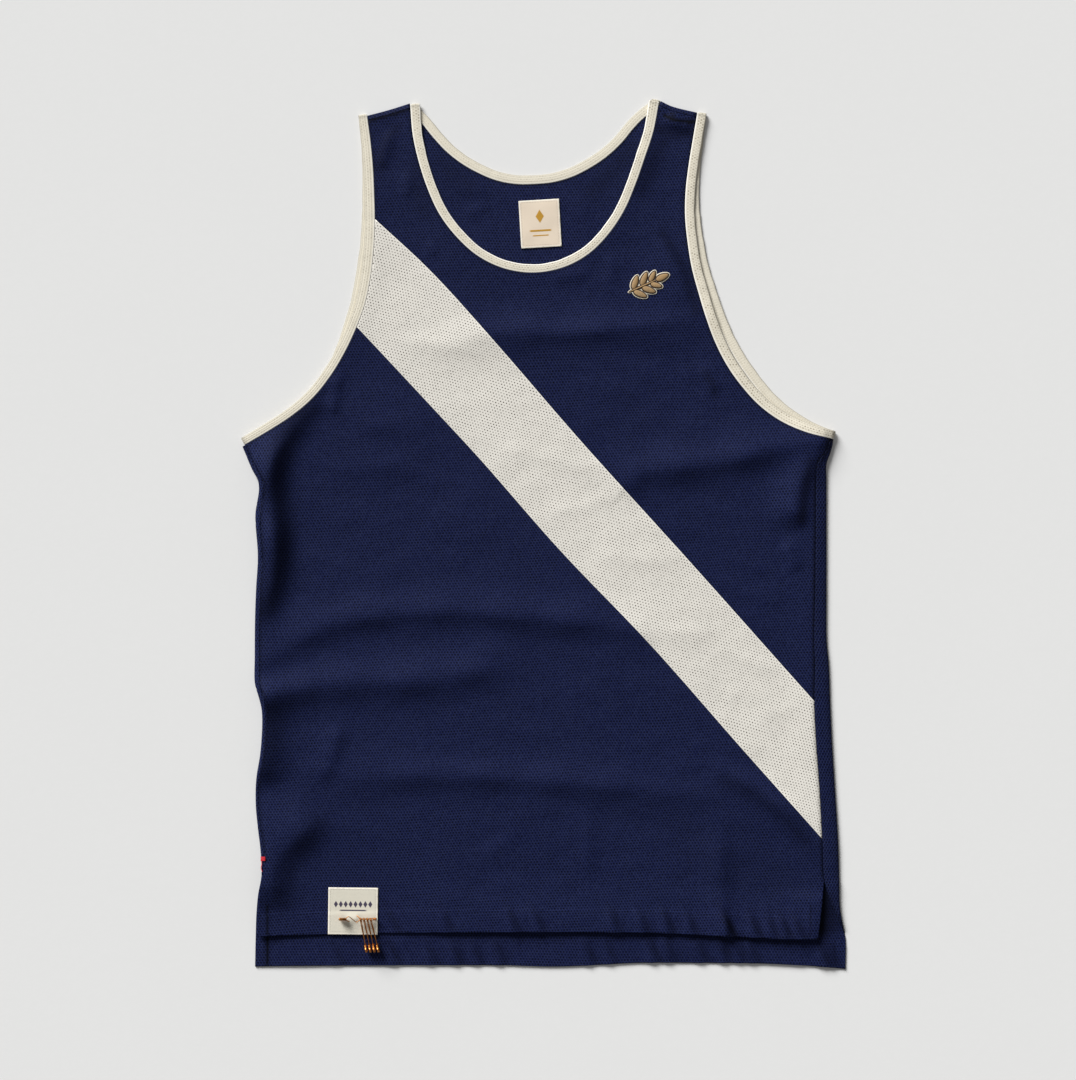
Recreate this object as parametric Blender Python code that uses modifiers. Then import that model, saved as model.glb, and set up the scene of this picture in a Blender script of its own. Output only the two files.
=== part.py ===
"""Running singlet in mesh knit, laid on its back on a flat surface.

The row frame: +X to the viewer's right, +Y towards the neck, +Z up off the surface, and the
origin on the surface under the middle of the garment. Lengths are in millimetres down to the
last step, where each mesh and curve is scaled to metres.

The back panel lies on the surface and rolls round both sides and over both shoulders. The
front is cut in three, an upper panel, a diagonal sash and a lower panel, and lies on the back
in soft folds. Folded bindings edge the neck and the armholes. Two labels and an embroidered
sprig are sewn on, and five safety pins are fastened through the hem label.
"""
import math

import bmesh
import bpy
import numpy as np
from mathutils import Matrix, Vector
from mathutils.geometry import delaunay_2d_cdt

MM = 0.001

# ---------------------------------------------------------------- driving dimensions (mm)
CLOTH = 1.0             # one layer of mesh knit
HEM_CLOTH = 1.8         # a turned-up hem, two layers pressed together
HEM_STEP = 1.2          # half the width over which a hem's second layer starts
BINDING = 1.7           # thickness of a folded binding
BINDING_ROUND = 0.4     # its rounded long edges
GAP = 0.3               # between sewn pieces and between layers
SHOULDER_WRAP = 4.0     # how far the back reaches over the shoulder fold to its seam
FREE_ROLL = 1.4         # radius of the back's roll where no front is sewn to it
SHORTEST_ROLL = 0.4     # a shorter arc than this tapers out into the panel's edge

BACK_REST = CLOTH / 2                       # mid-height of the back panel
FRONT_REST = CLOTH + GAP + CLOTH / 2        # lowest mid-height of the front panels
BACK_BINDING_REST = BINDING / 2
EDGE_LIFT = BINDING + GAP + BINDING / 2 - FRONT_REST   # front bindings clear the back ones
SIDE_LIFT = 1.5                             # the front's rise towards its side seams
EDGE_LIFT_REACH = 14.0
SIDE_LIFT_REACH = 24.0

FRONT_STEP = 15.0       # triangle size of the front panels
BACK_STEP = 30.0
EDGE_STEP = 13.0        # spacing of points along the cut edges
NECK_END_STEP = 5.0     # closer points where the back neck turns up to the shoulders
CREST_STEP = 8.0        # and along the crest of a fold
LABEL_STEPS = (6.5, 8.0, 7.0)   # of the labels: edges, field, over the hem's stitches
NECK_LABEL_STEP = 13.0
ROLL_STEPS = 3          # segments round a roll

# ---------------------------------------------------------------- cut edges (x, y)
# Edges of the panels, where the bindings start, from the shoulder down to the underarm.
LEFT_ARMHOLE = [(-143.5, 341.5), (-140.5, 319.5), (-138.5, 298), (-137.5, 276), (-137, 253),
                (-138, 231), (-140.5, 209), (-145, 187.5), (-152.5, 167), (-162, 147),
                (-173.5, 128), (-188, 110), (-205, 95.5), (-223.5, 83.5), (-242.5, 72.5)]
RIGHT_ARMHOLE = [(125.5, 343), (122, 322.5), (118.5, 301), (116, 280), (115.5, 259),
                 (117.5, 238), (121, 216.5), (126.5, 196), (132.5, 176), (140, 156),
                 (150, 136.5), (162.5, 119), (177, 103.5), (194.5, 91), (215, 82), (235.5, 77)]
# Edges of the neck, from the left shoulder round to the right one.
FRONT_NECK = [(-108.5, 349.5), (-106.5, 325.5), (-101.5, 303), (-94.5, 281.5), (-84.5, 260),
              (-70, 241), (-53, 226), (-32, 216), (-8.5, 212.5), (15.5, 216.5), (36, 227),
              (52.5, 243), (66, 263), (75.5, 285), (83, 306.5), (90, 328), (94.5, 351.5)]
BACK_NECK = [(-108.5, 349.5), (-108, 345.5), (-105.2, 341), (-99, 334.5), (-90.5, 324),
             (-79.5, 312), (-67, 302), (-53, 294), (-38.5, 288), (-22.5, 285), (-6.5, 285),
             (8.5, 286.5), (24, 291), (38, 298), (51.5, 307), (63.5, 318), (73, 329.5),
             (80, 337), (86.5, 342.3), (91.8, 346), (94.7, 349), (95.6, 352.5)]
# Seams of the sash, from the left armhole down to the right side seam.
SASH_TOP = [(-137, 256.5), (-91.5, 214), (-38, 155), (30, 76.5), (123, -26.5), (221, -136.5)]
SASH_BOTTOM = [(-152, 168.5), (-129, 144), (-87.5, 99.5), (-51, 60), (13.5, -13.5),
               (88.5, -92), (162, -175.5), (227.5, -249)]
# Hems, from left to right.
FRONT_HEM = [(-233, -328), (-174, -326.5), (-76, -325), (79, -325), (144.5, -327.5),
             (193, -330), (223.5, -330.5)]
BACK_HEM = [(-235, -353), (-198.5, -352.5), (-35.5, -352), (13.5, -353), (79, -350),
            (128, -350), (177, -350.5), (226, -353), (246.5, -355)]
FRONT_HEM_DEPTH = 17.5
BACK_HEM_DEPTH = 20.0
# Shoulder folds, outermost points, from left to right.
LEFT_SHOULDER = [(-143, 341), (-126, 345.5), (-108.5, 351)]
RIGHT_SHOULDER = [(95.5, 353), (105, 348.5), (125, 343.5)]

# Binding widths at even spacing, from left to right or from the shoulder to the underarm.
FRONT_NECK_WIDTHS = (8.2, 7.4, 7.2, 6.9, 6.9, 7.1, 7.5, 8.3)
BACK_NECK_WIDTHS = (7.2, 7.5, 7.6, 7.4, 7.7, 7.4, 7.2)
LEFT_BINDING_WIDTHS = (7.2, 8.2, 8.2, 7.4, 6.8, 6.4)
RIGHT_BINDING_WIDTHS = (7.6, 7.8, 8.0, 8.2, 8.4, 8.2, 6.8)
# How far the back's armhole stands outside the front's, at even spacing.
LEFT_PEEK = (0.0, 0.6, 1.8, 3.2, 4.4, 3.4, 0.2, 0.0, 0.0, 0.0)
RIGHT_PEEK = (0.0, 2.2, 4.8, 6.2, 7.8, 8.6, 5.6, 0.0)

# Side folds: a row for each height. fold is the x of the outermost cloth, wrap is how far the
# back reaches round it to its seam or free edge, and slant tips the fold's direction.
SIDE_COLUMNS = ("y", "fold", "wrap", "slant")
LEFT_SIDE = [
    (73.0, -246.0, 3.0, -0.62), (67.0, -243.5, 3.2, -0.50), (52.0, -237.0, 4.6, -0.15),
    (44.0, -232.5, 5.0, 0.0), (36.0, -231.5, 5.0, 0.0), (15.5, -234.5, 5.0, 0.0),
    (-18.0, -232.5, 4.8, 0.0), (-45.0, -234.0, 4.4, 0.0), (-70.5, -235.0, 4.2, 0.0),
    (-100.0, -235.2, 4.4, 0.0), (-122.0, -235.0, 4.7, 0.0), (-132.0, -232.0, 4.9, 0.0),
    (-142.0, -229.6, 4.6, 0.0), (-153.0, -229.0, 3.4, 0.0), (-178.5, -230.5, 2.8, 0.0),
    (-201.0, -234.0, 2.8, 0.0), (-220.0, -234.4, 2.8, 0.0), (-240.0, -232.6, 3.0, 0.0),
    (-254.0, -230.8, 3.3, 0.0), (-264.0, -229.9, 3.3, 0.0), (-273.0, -229.6, 1.4, 0.0),
    (-282.0, -230.2, 0.0, 0.0), (-294.0, -232.5, 0.0, 0.0), (-311.0, -234.0, 0.0, 0.0),
    (-328.0, -234.5, 0.0, 0.0), (-354.0, -235.0, 0.0, 0.0)]
LEFT_SLIT_TOP = -266.0
LEFT_TAPER = (-270.0, -274.0, -278.0)   # closer places where the roll tapers out
RIGHT_SIDE = [
    (79.5, 237.5, 3.2, -0.38), (67.0, 234.5, 4.2, -0.20), (57.0, 231.0, 7.6, 0.0),
    (44.0, 231.0, 8.6, 0.0), (-5.0, 231.0, 9.0, 0.0), (-50.0, 231.0, 9.5, 0.0),
    (-86.5, 231.2, 10.5, 0.0), (-107.0, 233.0, 11.6, 0.0), (-135.5, 234.0, 13.0, 0.0),
    (-168.5, 235.5, 13.0, 0.0), (-209.0, 238.0, 12.6, 0.0), (-250.0, 240.5, 13.0, 0.0),
    (-282.0, 241.5, 12.5, 0.0), (-303.0, 242.0, 6.6, 0.0), (-314.5, 243.6, 3.2, 0.0),
    (-321.0, 245.0, 1.2, 0.0), (-329.0, 246.5, 0.0, 0.0), (-356.0, 246.5, 0.0, 0.0)]
RIGHT_SLIT_TOP = -282.0
RIGHT_TAPER = (-317.0, -321.0, -325.0)
LEFT_SLIT_EDGE = [(-226.6, LEFT_SLIT_TOP), (-229.0, -280), (-231.0, -294), (-232.5, -311),
                  (-233.0, -328)]
RIGHT_SLIT_EDGE = [(229, RIGHT_SLIT_TOP), (227.5, -297), (223.5, -330.5)]

# Folds of the front: a row for each crest. left and right are the widths of its flanks, as
# seen along the crest, and start and end are the shares of the height that its ends keep.
FOLD_COLUMNS = ("name", "height", "left", "right", "start", "end", "crest")
FOLDS = [
    ("left_underarm_roll", 4.2, 17, 11, 0.5, 0.0,
     [(-226, 72), (-223, 35.5), (-223.5, -5), (-226, -46), (-229.5, -72)]),
    ("upper_belly", 3.8, 14, 11, 0.6, 0.2,
     [(-229.5, -103), (-197.5, -74), (-159.5, -65), (-121, -61.5), (-73, -59.5),
      (-35.5, -63), (13.5, -72), (54.5, -79), (120, -88)]),
    ("lower_belly", 4.2, 13, 10, 1.0, 0.0,
     [(-232.5, -131), (-207.5, -127.5), (-174, -121), (-121, -119.5), (-84, -117),
      (-43.5, -109.5), (-11, -106)]),
    ("chest", 2.9, 12, 11, 0.2, 0.3,
     [(-117, 154), (-76, 159), (-35.5, 166), (13.5, 169.5), (62.5, 170.5), (122, 177)]),
    ("right_strap", 1.6, 8, 8, 0.3, 0.1, [(89, 252), (101, 228), (113.5, 203)]),
    ("right_underarm", 4.2, 12, 11, 0.1, 0.6,
     [(74, 50), (85.5, 57), (120, 60.5), (143.5, 64), (172, 70), (200.5, 74), (228, 73)]),
    ("right_underarm_corner", 3.2, 8, 12, 0.6, 0.1,
     [(217, 62), (208.5, 44), (204, 19.5), (203, 0)]),
    ("hip", 3.1, 11, 9, 0.2, 0.8,
     [(-190.5, -195.5), (-163.5, -196), (-82.5, -197), (-34.5, -198.5), (13.5, -202),
      (66, -206.5), (104.5, -211.5), (128, -217), (141, -231)]),
    ("hip_drop", 2.6, 9, 8, 0.7, 0.8,
     [(134, -222), (143, -240), (145.5, -262), (146, -290), (146, -326)]),
    ("below_sash", 1.9, 8, 8, 0.2, 0.1,
     [(140, -197), (173, -214), (197.5, -229.5), (214, -249)]),
    ("lower_left_wedge", 4.0, 11, 12, 0.1, 0.5,
     [(-224.5, -312), (-222, -284), (-212.5, -260.5), (-200, -242), (-186, -223)]),
    ("lower_left_crease", 1.7, 9, 10, 0.2, 0.2,
     [(-198.5, -205), (-180.5, -184.5), (-167, -157)]),
]

# Labels: centre, width, height and turn in degrees.
NECK_LABEL = (-2.5, 252.8, 33.0, 38.8, 3.4)
HEM_LABEL = (-155.0, -307.6, 40.4, 38.2, -0.6)

# The embroidered sprig: a stem with a leaf at its tip and leaves at each side.
SPRIG_CENTRE = (86.0, 204.0)
SPRIG_TURN = 24.0
SPRIG_STEM = (27.0, 1.7)                # length, width
SPRIG_LEAVES = [(2.5, 11.5, 5.0, 48.0), (10.0, 11.5, 5.0, 44.0), (17.5, 9.5, 4.4, 40.0)]
SPRIG_LEAF_ROOT = (2.6, 1.3)            # width on the stem, and how far the tip leans on
SPRIG_TIP_LEAF = (11.0, 5.4, 3.0)       # length, width, how far its root covers the stem
SPRIG_THICK = 1.0
SPRIG_GRID = (20.0, 15.0, 5.0)          # half width, half height and step of the cloth under it

# The red bar tack at the top of the left slit, and its loose thread.
BAR_TACK = (-227.7, -264.3, 4.6, 3.6, 0.8)      # centre, width, height, thickness
BAR_TACK_TAIL = (8.5, 0.8)                      # length, width

# Safety pins. The holder is fastened through the hem label, the others hang on it.
WIRE_RADIUS = 0.35
COIL_RADIUS = 1.4
COIL_TURNS = 1.5
COIL_PITCH = 0.8
COIL_POINTS_PER_TURN = 10
CAP = (6.2, 5.6, 2.0)                   # length, width, thickness
CAP_WALL = (0.8, 0.35, 0.3)             # end, sides, top and bottom
CAP_ROUND = 0.5
CAP_ARM_SPREAD = 1.85                   # the arms' distance from the middle at the cap
CAP_ARM_STRAIGHT = 4.0                  # how much of each arm is straight there
HOLDER_X = -137.05                      # middle of the holder's coil
HOLDER_Y = -313.6
HOLDER_LENGTH = 29.3                    # from its coil's middle to the end of its cap
HOLDER_TILT = 1.9                       # degrees, cap end up
HOLDER_ABOVE_LABEL = 2.2
HANGING_PINS = 4
HANGING_LENGTH = 27.0
HANGING_PITCH = 2.75
HANGING_FIRST = 3.2                     # from the holder's coil to the nearest hanging pin
HANGING_DROOP = 5.5                     # degrees below level, where the caps reach the hem
HANGING_FAN = (13.6, 12.4, 11.2, 10.0)  # degrees in plan, nearest the coil first
# The label rises over the holder's lower arm, which pierces both slopes.
TUNNEL = (-155.0, 2.0, 1.6, 2.8, 2.95)  # middle x, half flat, end slope, side slope, rise
TUNNEL_DRILL = 14.0                     # length of the arm's clearance through both slopes
TUNNEL_GRID = (6.0, 6.0, 1.5)           # half width, half height and step of its finer cloth

COLOURS = {"navy_mesh": (28, 31, 72), "cream_mesh": (222, 217, 203),
           "binding_mesh": (228, 222, 205), "label_weave": (228, 215, 195),
           "gold_thread": (176, 142, 84), "red_thread": (190, 34, 48), "brass": (196, 146, 70)}


# ---------------------------------------------------------------- plan curves
def plan_lengths(points):
    """Running length along a curve, measured in plan."""
    steps = np.hypot(*(points[1:, :2] - points[:-1, :2]).T)
    return np.concatenate(([0.0], np.cumsum(steps)))


def smooth_curve(rows, step, end_step=None):
    """A centripetal spline through the rows, read at an even spacing of about step.

    With an end_step, a further point stands this far from each end."""
    rows = np.asarray(rows, float)
    control = np.vstack((2 * rows[0] - rows[1], rows, 2 * rows[-1] - rows[-2]))
    fine = []
    for p0, p1, p2, p3 in zip(control, control[1:], control[2:], control[3:]):
        knots = [0.0]
        for a, b in ((p0, p1), (p1, p2), (p2, p3)):
            knots.append(knots[-1] + math.sqrt(math.dist(a[:2], b[:2])))
        for t in np.linspace(knots[1], knots[2], 13)[:-1]:
            def blend(a, b, start, end):
                return a + (b - a) * (t - start) / (end - start)
            a1 = blend(p0, p1, knots[0], knots[1])
            a2 = blend(p1, p2, knots[1], knots[2])
            a3 = blend(p2, p3, knots[2], knots[3])
            b1 = blend(a1, a2, knots[0], knots[2])
            b2 = blend(a2, a3, knots[1], knots[3])
            fine.append(blend(b1, b2, knots[1], knots[2]))
    fine.append(rows[-1])
    return resample(np.array(fine), step, end_step)


def resample(points, step, end_step=None):
    """The same curve with points at an even spacing of about step."""
    lengths = plan_lengths(points)
    count = max(2, int(round(lengths[-1] / step)) + 1)
    places = np.linspace(0.0, lengths[-1], count)
    if end_step:
        places = np.sort(np.append(places, (end_step, lengths[-1] - end_step)))
    return np.stack([np.interp(places, lengths, column) for column in points.T], axis=1)


def left_normals(points):
    """Unit plan normals on the left of a curve's direction."""
    ahead = np.gradient(points[:, :2], axis=0)
    ahead /= np.linalg.norm(ahead, axis=1)[:, None]
    return np.stack((-ahead[:, 1], ahead[:, 0]), axis=1)


def moved_left(points, distance):
    """A curve moved to its left, by one distance or by a distance for each point."""
    distance = np.broadcast_to(distance, len(points))
    return points[:, :2] + left_normals(points) * distance[:, None]


def along(values, count):
    """Values at even spacing, read smoothly at count places."""
    table = np.column_stack((np.linspace(0, 100, len(values)), np.zeros(len(values)), values))
    return resample(smooth_curve(table, 1.0), 100 / (count - 1))[:, 2]


def part_between(points, high, low):
    """The stretch of a falling curve between two heights y."""
    y = points[:, 1]
    high, low = min(high, y[0]), max(low, y[-1])
    ends = [np.array([np.interp(-v, -y, column) for column in points.T]) for v in (high, low)]
    inside = points[(y < high - 0.5) & (y > low + 0.5)]
    return np.vstack((ends[0], inside, ends[1]))


def join_edges(edges):
    """A closed outline from edges in order, their ends carried on to where they cross.

    Returns the outline and, for each edge, the places of its points in it."""
    corners = []
    for before, after in zip(edges, edges[1:] + edges[:1]):
        p, along_p = before[-1], before[-1] - before[-2]
        q, along_q = after[0], after[1] - after[0]
        share = np.cross(q - p, along_q) / np.cross(along_p, along_q)
        corners.append(p + along_p * share)
    outline, places = [], []
    for edge, corner in zip(edges, corners):
        start = len(outline) - 1
        outline.extend(edge[1:-1])
        outline.append(corner)
        places.append(list(range(start, len(outline))))
    places[0][0] = len(outline) - 1
    return np.array(outline), places


def to_polyline(points, polyline):
    """For each point: distance to a polyline, signed side (left +) and share along it."""
    start, end = polyline[:-1, :2], polyline[1:, :2]
    ahead = end - start
    length = np.linalg.norm(ahead, axis=1)
    offset = points[:, None, :] - start[None]
    share = np.clip((offset * ahead[None]).sum(2) / length**2, 0.0, 1.0)
    apart = offset - share[..., None] * ahead[None]
    distance = np.linalg.norm(apart, axis=2)
    nearest = distance.argmin(axis=1)
    rows = np.arange(len(points))
    side = np.sign(np.cross(ahead[nearest], offset[rows, nearest]))
    run = np.concatenate(([0.0], np.cumsum(length)))
    place = (run[nearest] + share[rows, nearest] * length[nearest]) / run[-1]
    return distance[rows, nearest], side, place


def ease(value):
    value = np.clip(value, 0.0, 1.0)
    return value * value * (3 - 2 * value)


# ---------------------------------------------------------------- the garment's own curves
LEFT_ARMHOLE_EDGE = smooth_curve(LEFT_ARMHOLE, EDGE_STEP)
RIGHT_ARMHOLE_EDGE = smooth_curve(RIGHT_ARMHOLE, EDGE_STEP)
FRONT_NECK_EDGE = smooth_curve(FRONT_NECK, EDGE_STEP)
BACK_NECK_EDGE = smooth_curve(BACK_NECK, EDGE_STEP, NECK_END_STEP)


def side_curve(table, taper):
    """A side's rows, evenly spaced and at its taper, as columns y, fold, wrap, slant."""
    rows = np.array(table, float)
    even = smooth_curve(rows[:, [1, 0, 2, 3]], EDGE_STEP)[:, [1, 0, 2, 3]]
    added = np.transpose([np.interp(-np.array(taper), -even[:, 0], column)
                          for column in even.T])
    apart = (even[:, 0] > taper[0] + 4.0) | (even[:, 0] < taper[-1] - 4.0)
    rows = np.vstack((even[apart], added))
    rows[:, 2] = np.maximum(rows[:, 2], 0.0)
    return rows[np.argsort(-rows[:, 0])]


LEFT_FOLD = side_curve(LEFT_SIDE, LEFT_TAPER)
RIGHT_FOLD = side_curve(RIGHT_SIDE, RIGHT_TAPER)


def outward(rows, sign):
    """Plan direction out of a side fold, for each row of its table."""
    direction = np.stack((np.full(len(rows), float(sign)), rows[:, 3]), axis=1)
    return direction / np.linalg.norm(direction, axis=1)[:, None]


def seam_of(rows, sign):
    """Plan curve of a side's seam, wrap back from the fold."""
    return rows[:, [1, 0]] - outward(rows, sign) * rows[:, 2:3]


LEFT_SEAM = part_between(seam_of(LEFT_FOLD, -1), math.inf, LEFT_SLIT_TOP)
RIGHT_SEAM = part_between(seam_of(RIGHT_FOLD, 1), math.inf, RIGHT_SLIT_TOP)
STRAP_UP = {"left": np.array((-0.10, 0.995)), "right": np.array((0.18, 0.984))}
SHOULDERS = {"left": smooth_curve(LEFT_SHOULDER, EDGE_STEP),
             "right": smooth_curve(RIGHT_SHOULDER, EDGE_STEP)}
FRONT_HEM_EDGE = smooth_curve(FRONT_HEM, EDGE_STEP)
BACK_HEM_EDGE = smooth_curve(BACK_HEM, EDGE_STEP)

LIFTED_EDGES = [(LEFT_ARMHOLE_EDGE, EDGE_LIFT, EDGE_LIFT_REACH),
                (RIGHT_ARMHOLE_EDGE, EDGE_LIFT, EDGE_LIFT_REACH),
                (FRONT_NECK_EDGE, EDGE_LIFT, EDGE_LIFT_REACH),
                (SHOULDERS["left"], EDGE_LIFT, EDGE_LIFT_REACH),
                (SHOULDERS["right"], EDGE_LIFT, EDGE_LIFT_REACH),
                (LEFT_SEAM, SIDE_LIFT, SIDE_LIFT_REACH),
                (RIGHT_SEAM, SIDE_LIFT, SIDE_LIFT_REACH)]


# ---------------------------------------------------------------- heights
def fold_height(points, fold):
    """Height of one fold over the points."""
    row = dict(zip(FOLD_COLUMNS, fold))
    distance, side, place = to_polyline(points, smooth_curve(row["crest"], CREST_STEP))
    flank = np.where(side > 0, row["left"], row["right"])
    ends = ((row["start"] + (1 - row["start"]) * ease(place / 0.3))
            * (row["end"] + (1 - row["end"]) * ease((1 - place) / 0.3)))
    return row["height"] * ends * np.exp(-(distance / flank) ** 2)


def hem_thickness(points, hem, depth):
    """Cloth thickness over the points, thicker below a hem's stitch line."""
    line = np.interp(points[:, 0], hem[:, 0], hem[:, 1]) + depth
    doubled = ease((line + HEM_STEP - points[:, 1]) / (2 * HEM_STEP))
    return CLOTH + (HEM_CLOTH - CLOTH) * doubled


def front_thickness(points):
    return hem_thickness(points, FRONT_HEM_EDGE, FRONT_HEM_DEPTH)


def back_thickness(points):
    return hem_thickness(points, BACK_HEM_EDGE, BACK_HEM_DEPTH)


def front_mid(points):
    """Mid-height of the front's cloth over the points."""
    lift = np.zeros(len(points))
    for edge, rise, reach in LIFTED_EDGES:
        distance, _, _ = to_polyline(points, edge)
        lift += (rise * np.exp(-(distance / reach) ** 2)) ** 4
    height = FRONT_REST + lift ** 0.25
    for fold in FOLDS:
        height += fold_height(points, fold)
    return height + (front_thickness(points) - CLOTH) / 2


def front_top(points):
    return front_mid(points) + front_thickness(points) / 2


# ---------------------------------------------------------------- building pieces
def clear_scene():
    for thing in list(bpy.data.objects):
        bpy.data.objects.remove(thing, do_unlink=True)


def material(slot, roughness=0.85, metallic=0.0):
    """A plain Principled material in the slot's colour."""
    if slot in bpy.data.materials:
        return bpy.data.materials[slot]
    linear = [((c / 255 + 0.055) / 1.055) ** 2.4 if c > 10 else c / 255 / 12.92
              for c in COLOURS[slot]]
    made = bpy.data.materials.new(slot)
    made.use_nodes = True
    shader = made.node_tree.nodes["Principled BSDF"]
    shader.inputs["Base Color"].default_value = (*linear, 1.0)
    shader.inputs["Roughness"].default_value = roughness
    shader.inputs["Metallic"].default_value = metallic
    return made


def add_object(name, data, slot, collection, **finish):
    piece = bpy.data.objects.new(name, data)
    data.materials.append(material(slot, **finish))
    collection.objects.link(piece)
    return piece


def mesh_object(name, bm, slot, collection, **finish):
    """A mesh object in metres from a bmesh in millimetres."""
    bmesh.ops.scale(bm, vec=(MM, MM, MM), verts=bm.verts)
    mesh = bpy.data.meshes.new(name)
    bm.to_mesh(mesh)
    bm.free()
    mesh.shade_smooth()
    return add_object(name, mesh, slot, collection, **finish)


def solidify(piece, thickness, group=None, thin_share=1.0):
    """A wall of the given thickness about the open surface, thinner outside the group."""
    wall = piece.modifiers.new("wall", "SOLIDIFY")
    wall.thickness = thickness * MM
    wall.offset = 0.0
    if group:
        wall.vertex_group = group.name
        wall.thickness_vertex_group = thin_share


def fill_points(outline, step, lines=(), patches=()):
    """Points inside an outline: an even staggered field, given lines, and finer patches."""
    low, high = outline.min(axis=0), outline.max(axis=0)
    field = []
    for row, y in enumerate(np.arange(low[1], high[1], step * math.sqrt(0.75))):
        start = low[0] + (row % 2) * step / 2
        field.extend((x, y) for x in np.arange(start, high[0], step))
    field = np.array(field)
    closed = np.vstack((outline, outline[:1]))
    field = field[inside(field, outline) & (to_polyline(field, closed)[0] > 0.55 * step)]
    for line in lines:
        field = field[to_polyline(field, line)[0] > 0.5 * step]
    for patch in patches:
        low, high = patch.min(axis=0) - step / 3, patch.max(axis=0) + step / 3
        field = field[(field < low).any(axis=1) | (field > high).any(axis=1)]
    for added in (*lines, *patches):
        added = added[inside(added, outline)]
        field = np.vstack((field, added[to_polyline(added, closed)[0] > 2.0]))
    return field


def grid(x, y, half_width, half_height, step):
    """Evenly spaced points over a box."""
    across = np.arange(-half_width, half_width + step / 2, step)
    upward = np.arange(-half_height, half_height + step / 2, step)
    return np.array([(x + dx, y + dy) for dx in across for dy in upward])


def inside(points, outline):
    """Which points are inside a closed outline."""
    a, b = outline, np.roll(outline, -1, axis=0)
    x, y = points[:, 0:1], points[:, 1:2]
    spans = (a[:, 1] > y) != (b[:, 1] > y)
    with np.errstate(divide="ignore", invalid="ignore"):
        cross = a[:, 0] + (y - a[:, 1]) * (b[:, 0] - a[:, 0]) / (b[:, 1] - a[:, 1])
    return (np.where(spans, cross > x, False).sum(axis=1) % 2).astype(bool)


def triangulated(outline, field):
    """Plan points and triangles that fill an outline. The outline's points come first."""
    points = [Vector(p) for p in outline] + [Vector(p) for p in field]
    border = list(range(len(outline)))
    made, _, faces, _, _, _ = delaunay_2d_cdt(points, [], [border], 1, 1e-5)
    return np.array([tuple(p) for p in made]), faces


def cloth(name, outline, field, heights, thickness, slot, collection, strips=()):
    """A piece of cloth: a filled outline at its heights, with strips that roll on from it.

    heights and thickness are functions of plan points. A strip is (places, rolled, rows): the
    places on the outline where it starts, which of them roll on, and the rows further out."""
    points, faces = triangulated(outline, field)
    z = heights(points)
    bm = bmesh.new()
    verts = [bm.verts.new((*p, h)) for p, h in zip(points, z)]
    for face in faces:
        bm.faces.new([verts[i] for i in face])
    for places, rolled, rows in strips:
        starts = before = [verts[i] for i in places]
        for row in rows:
            ahead = [bm.verts.new(p) if out else start
                     for p, out, start in zip(row, rolled, starts)]
            for k in range(len(ahead) - 1):
                corners = (before[k + 1], before[k], ahead[k], ahead[k + 1])
                bm.faces.new(dict.fromkeys(corners))
            before = ahead
    bm.normal_update()
    wall = thickness(np.array([tuple(v.co)[:2] for v in verts]))
    piece = mesh_object(name, bm, slot, collection)
    if wall.max() - wall.min() < 0.01:
        solidify(piece, wall.max())
        return piece
    group = piece.vertex_groups.new(name="thickness")
    for index, value in enumerate(wall):
        group.add([index], (value - CLOTH) / (HEM_CLOTH - CLOTH), "REPLACE")
    solidify(piece, HEM_CLOTH, group, CLOTH / HEM_CLOTH)
    return piece


def rolled_rows(origins, directions, radii, arcs):
    """Rows of points that carry a flat sheet on round a roll and back over itself.

    Each origin is where the sheet leaves the surface, at the back panel's mid-height. The
    sheet then runs arcs further: round the roll, and straight back where the roll is done."""
    half_turn = np.pi * radii
    rows = []
    for k in range(1, ROLL_STEPS + 2):
        if k <= ROLL_STEPS:
            run = np.minimum(arcs * k / (ROLL_STEPS + 1), half_turn * k / ROLL_STEPS)
            run = np.where(arcs > half_turn + 1.0, half_turn * k / ROLL_STEPS, run)
        else:
            run = arcs
        angle = np.minimum(run / radii, np.pi)
        out = radii * np.sin(angle) - np.maximum(run - half_turn, 0.0)
        up = BACK_REST + radii * (1 - np.cos(angle))
        plan = origins + directions * out[:, None]
        rows.append(np.column_stack((plan, up)))
    return rows


def roll_of(seams, wraps):
    """Roll radius, arc beyond the surface, and the fold's reach, for each place on a fold."""
    radii = (front_mid(seams) - BACK_REST) / 2
    reach = radii + CLOTH / 2
    return radii, np.pi * radii + np.maximum(wraps - reach, 0.4), reach


def side_roll(rows, sign, slit_top):
    """Where a side leaves the surface, with the directions, radii and arcs of its roll."""
    directions = outward(rows, sign)
    folds = rows[:, [1, 0]]
    wraps = rows[:, 2]
    radii, arcs, reach = roll_of(folds - directions * wraps[:, None], wraps)
    free = rows[:, 0] < slit_top
    free_reach = FREE_ROLL + CLOTH / 2
    free_arcs = np.where(wraps > free_reach, np.pi * FREE_ROLL + wraps - free_reach,
                         np.pi * FREE_ROLL * wraps / free_reach)
    quarter = np.minimum(free_arcs / FREE_ROLL, np.pi / 2)
    free_out = FREE_ROLL * np.sin(quarter) + CLOTH / 2 * np.minimum(free_arcs, 1.0)
    radii = np.where(free, FREE_ROLL, radii)
    arcs = np.where(free, free_arcs, arcs)
    reach = np.where(free, free_out, reach)
    return np.column_stack((folds - directions * reach[:, None], directions, radii, arcs))


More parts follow.
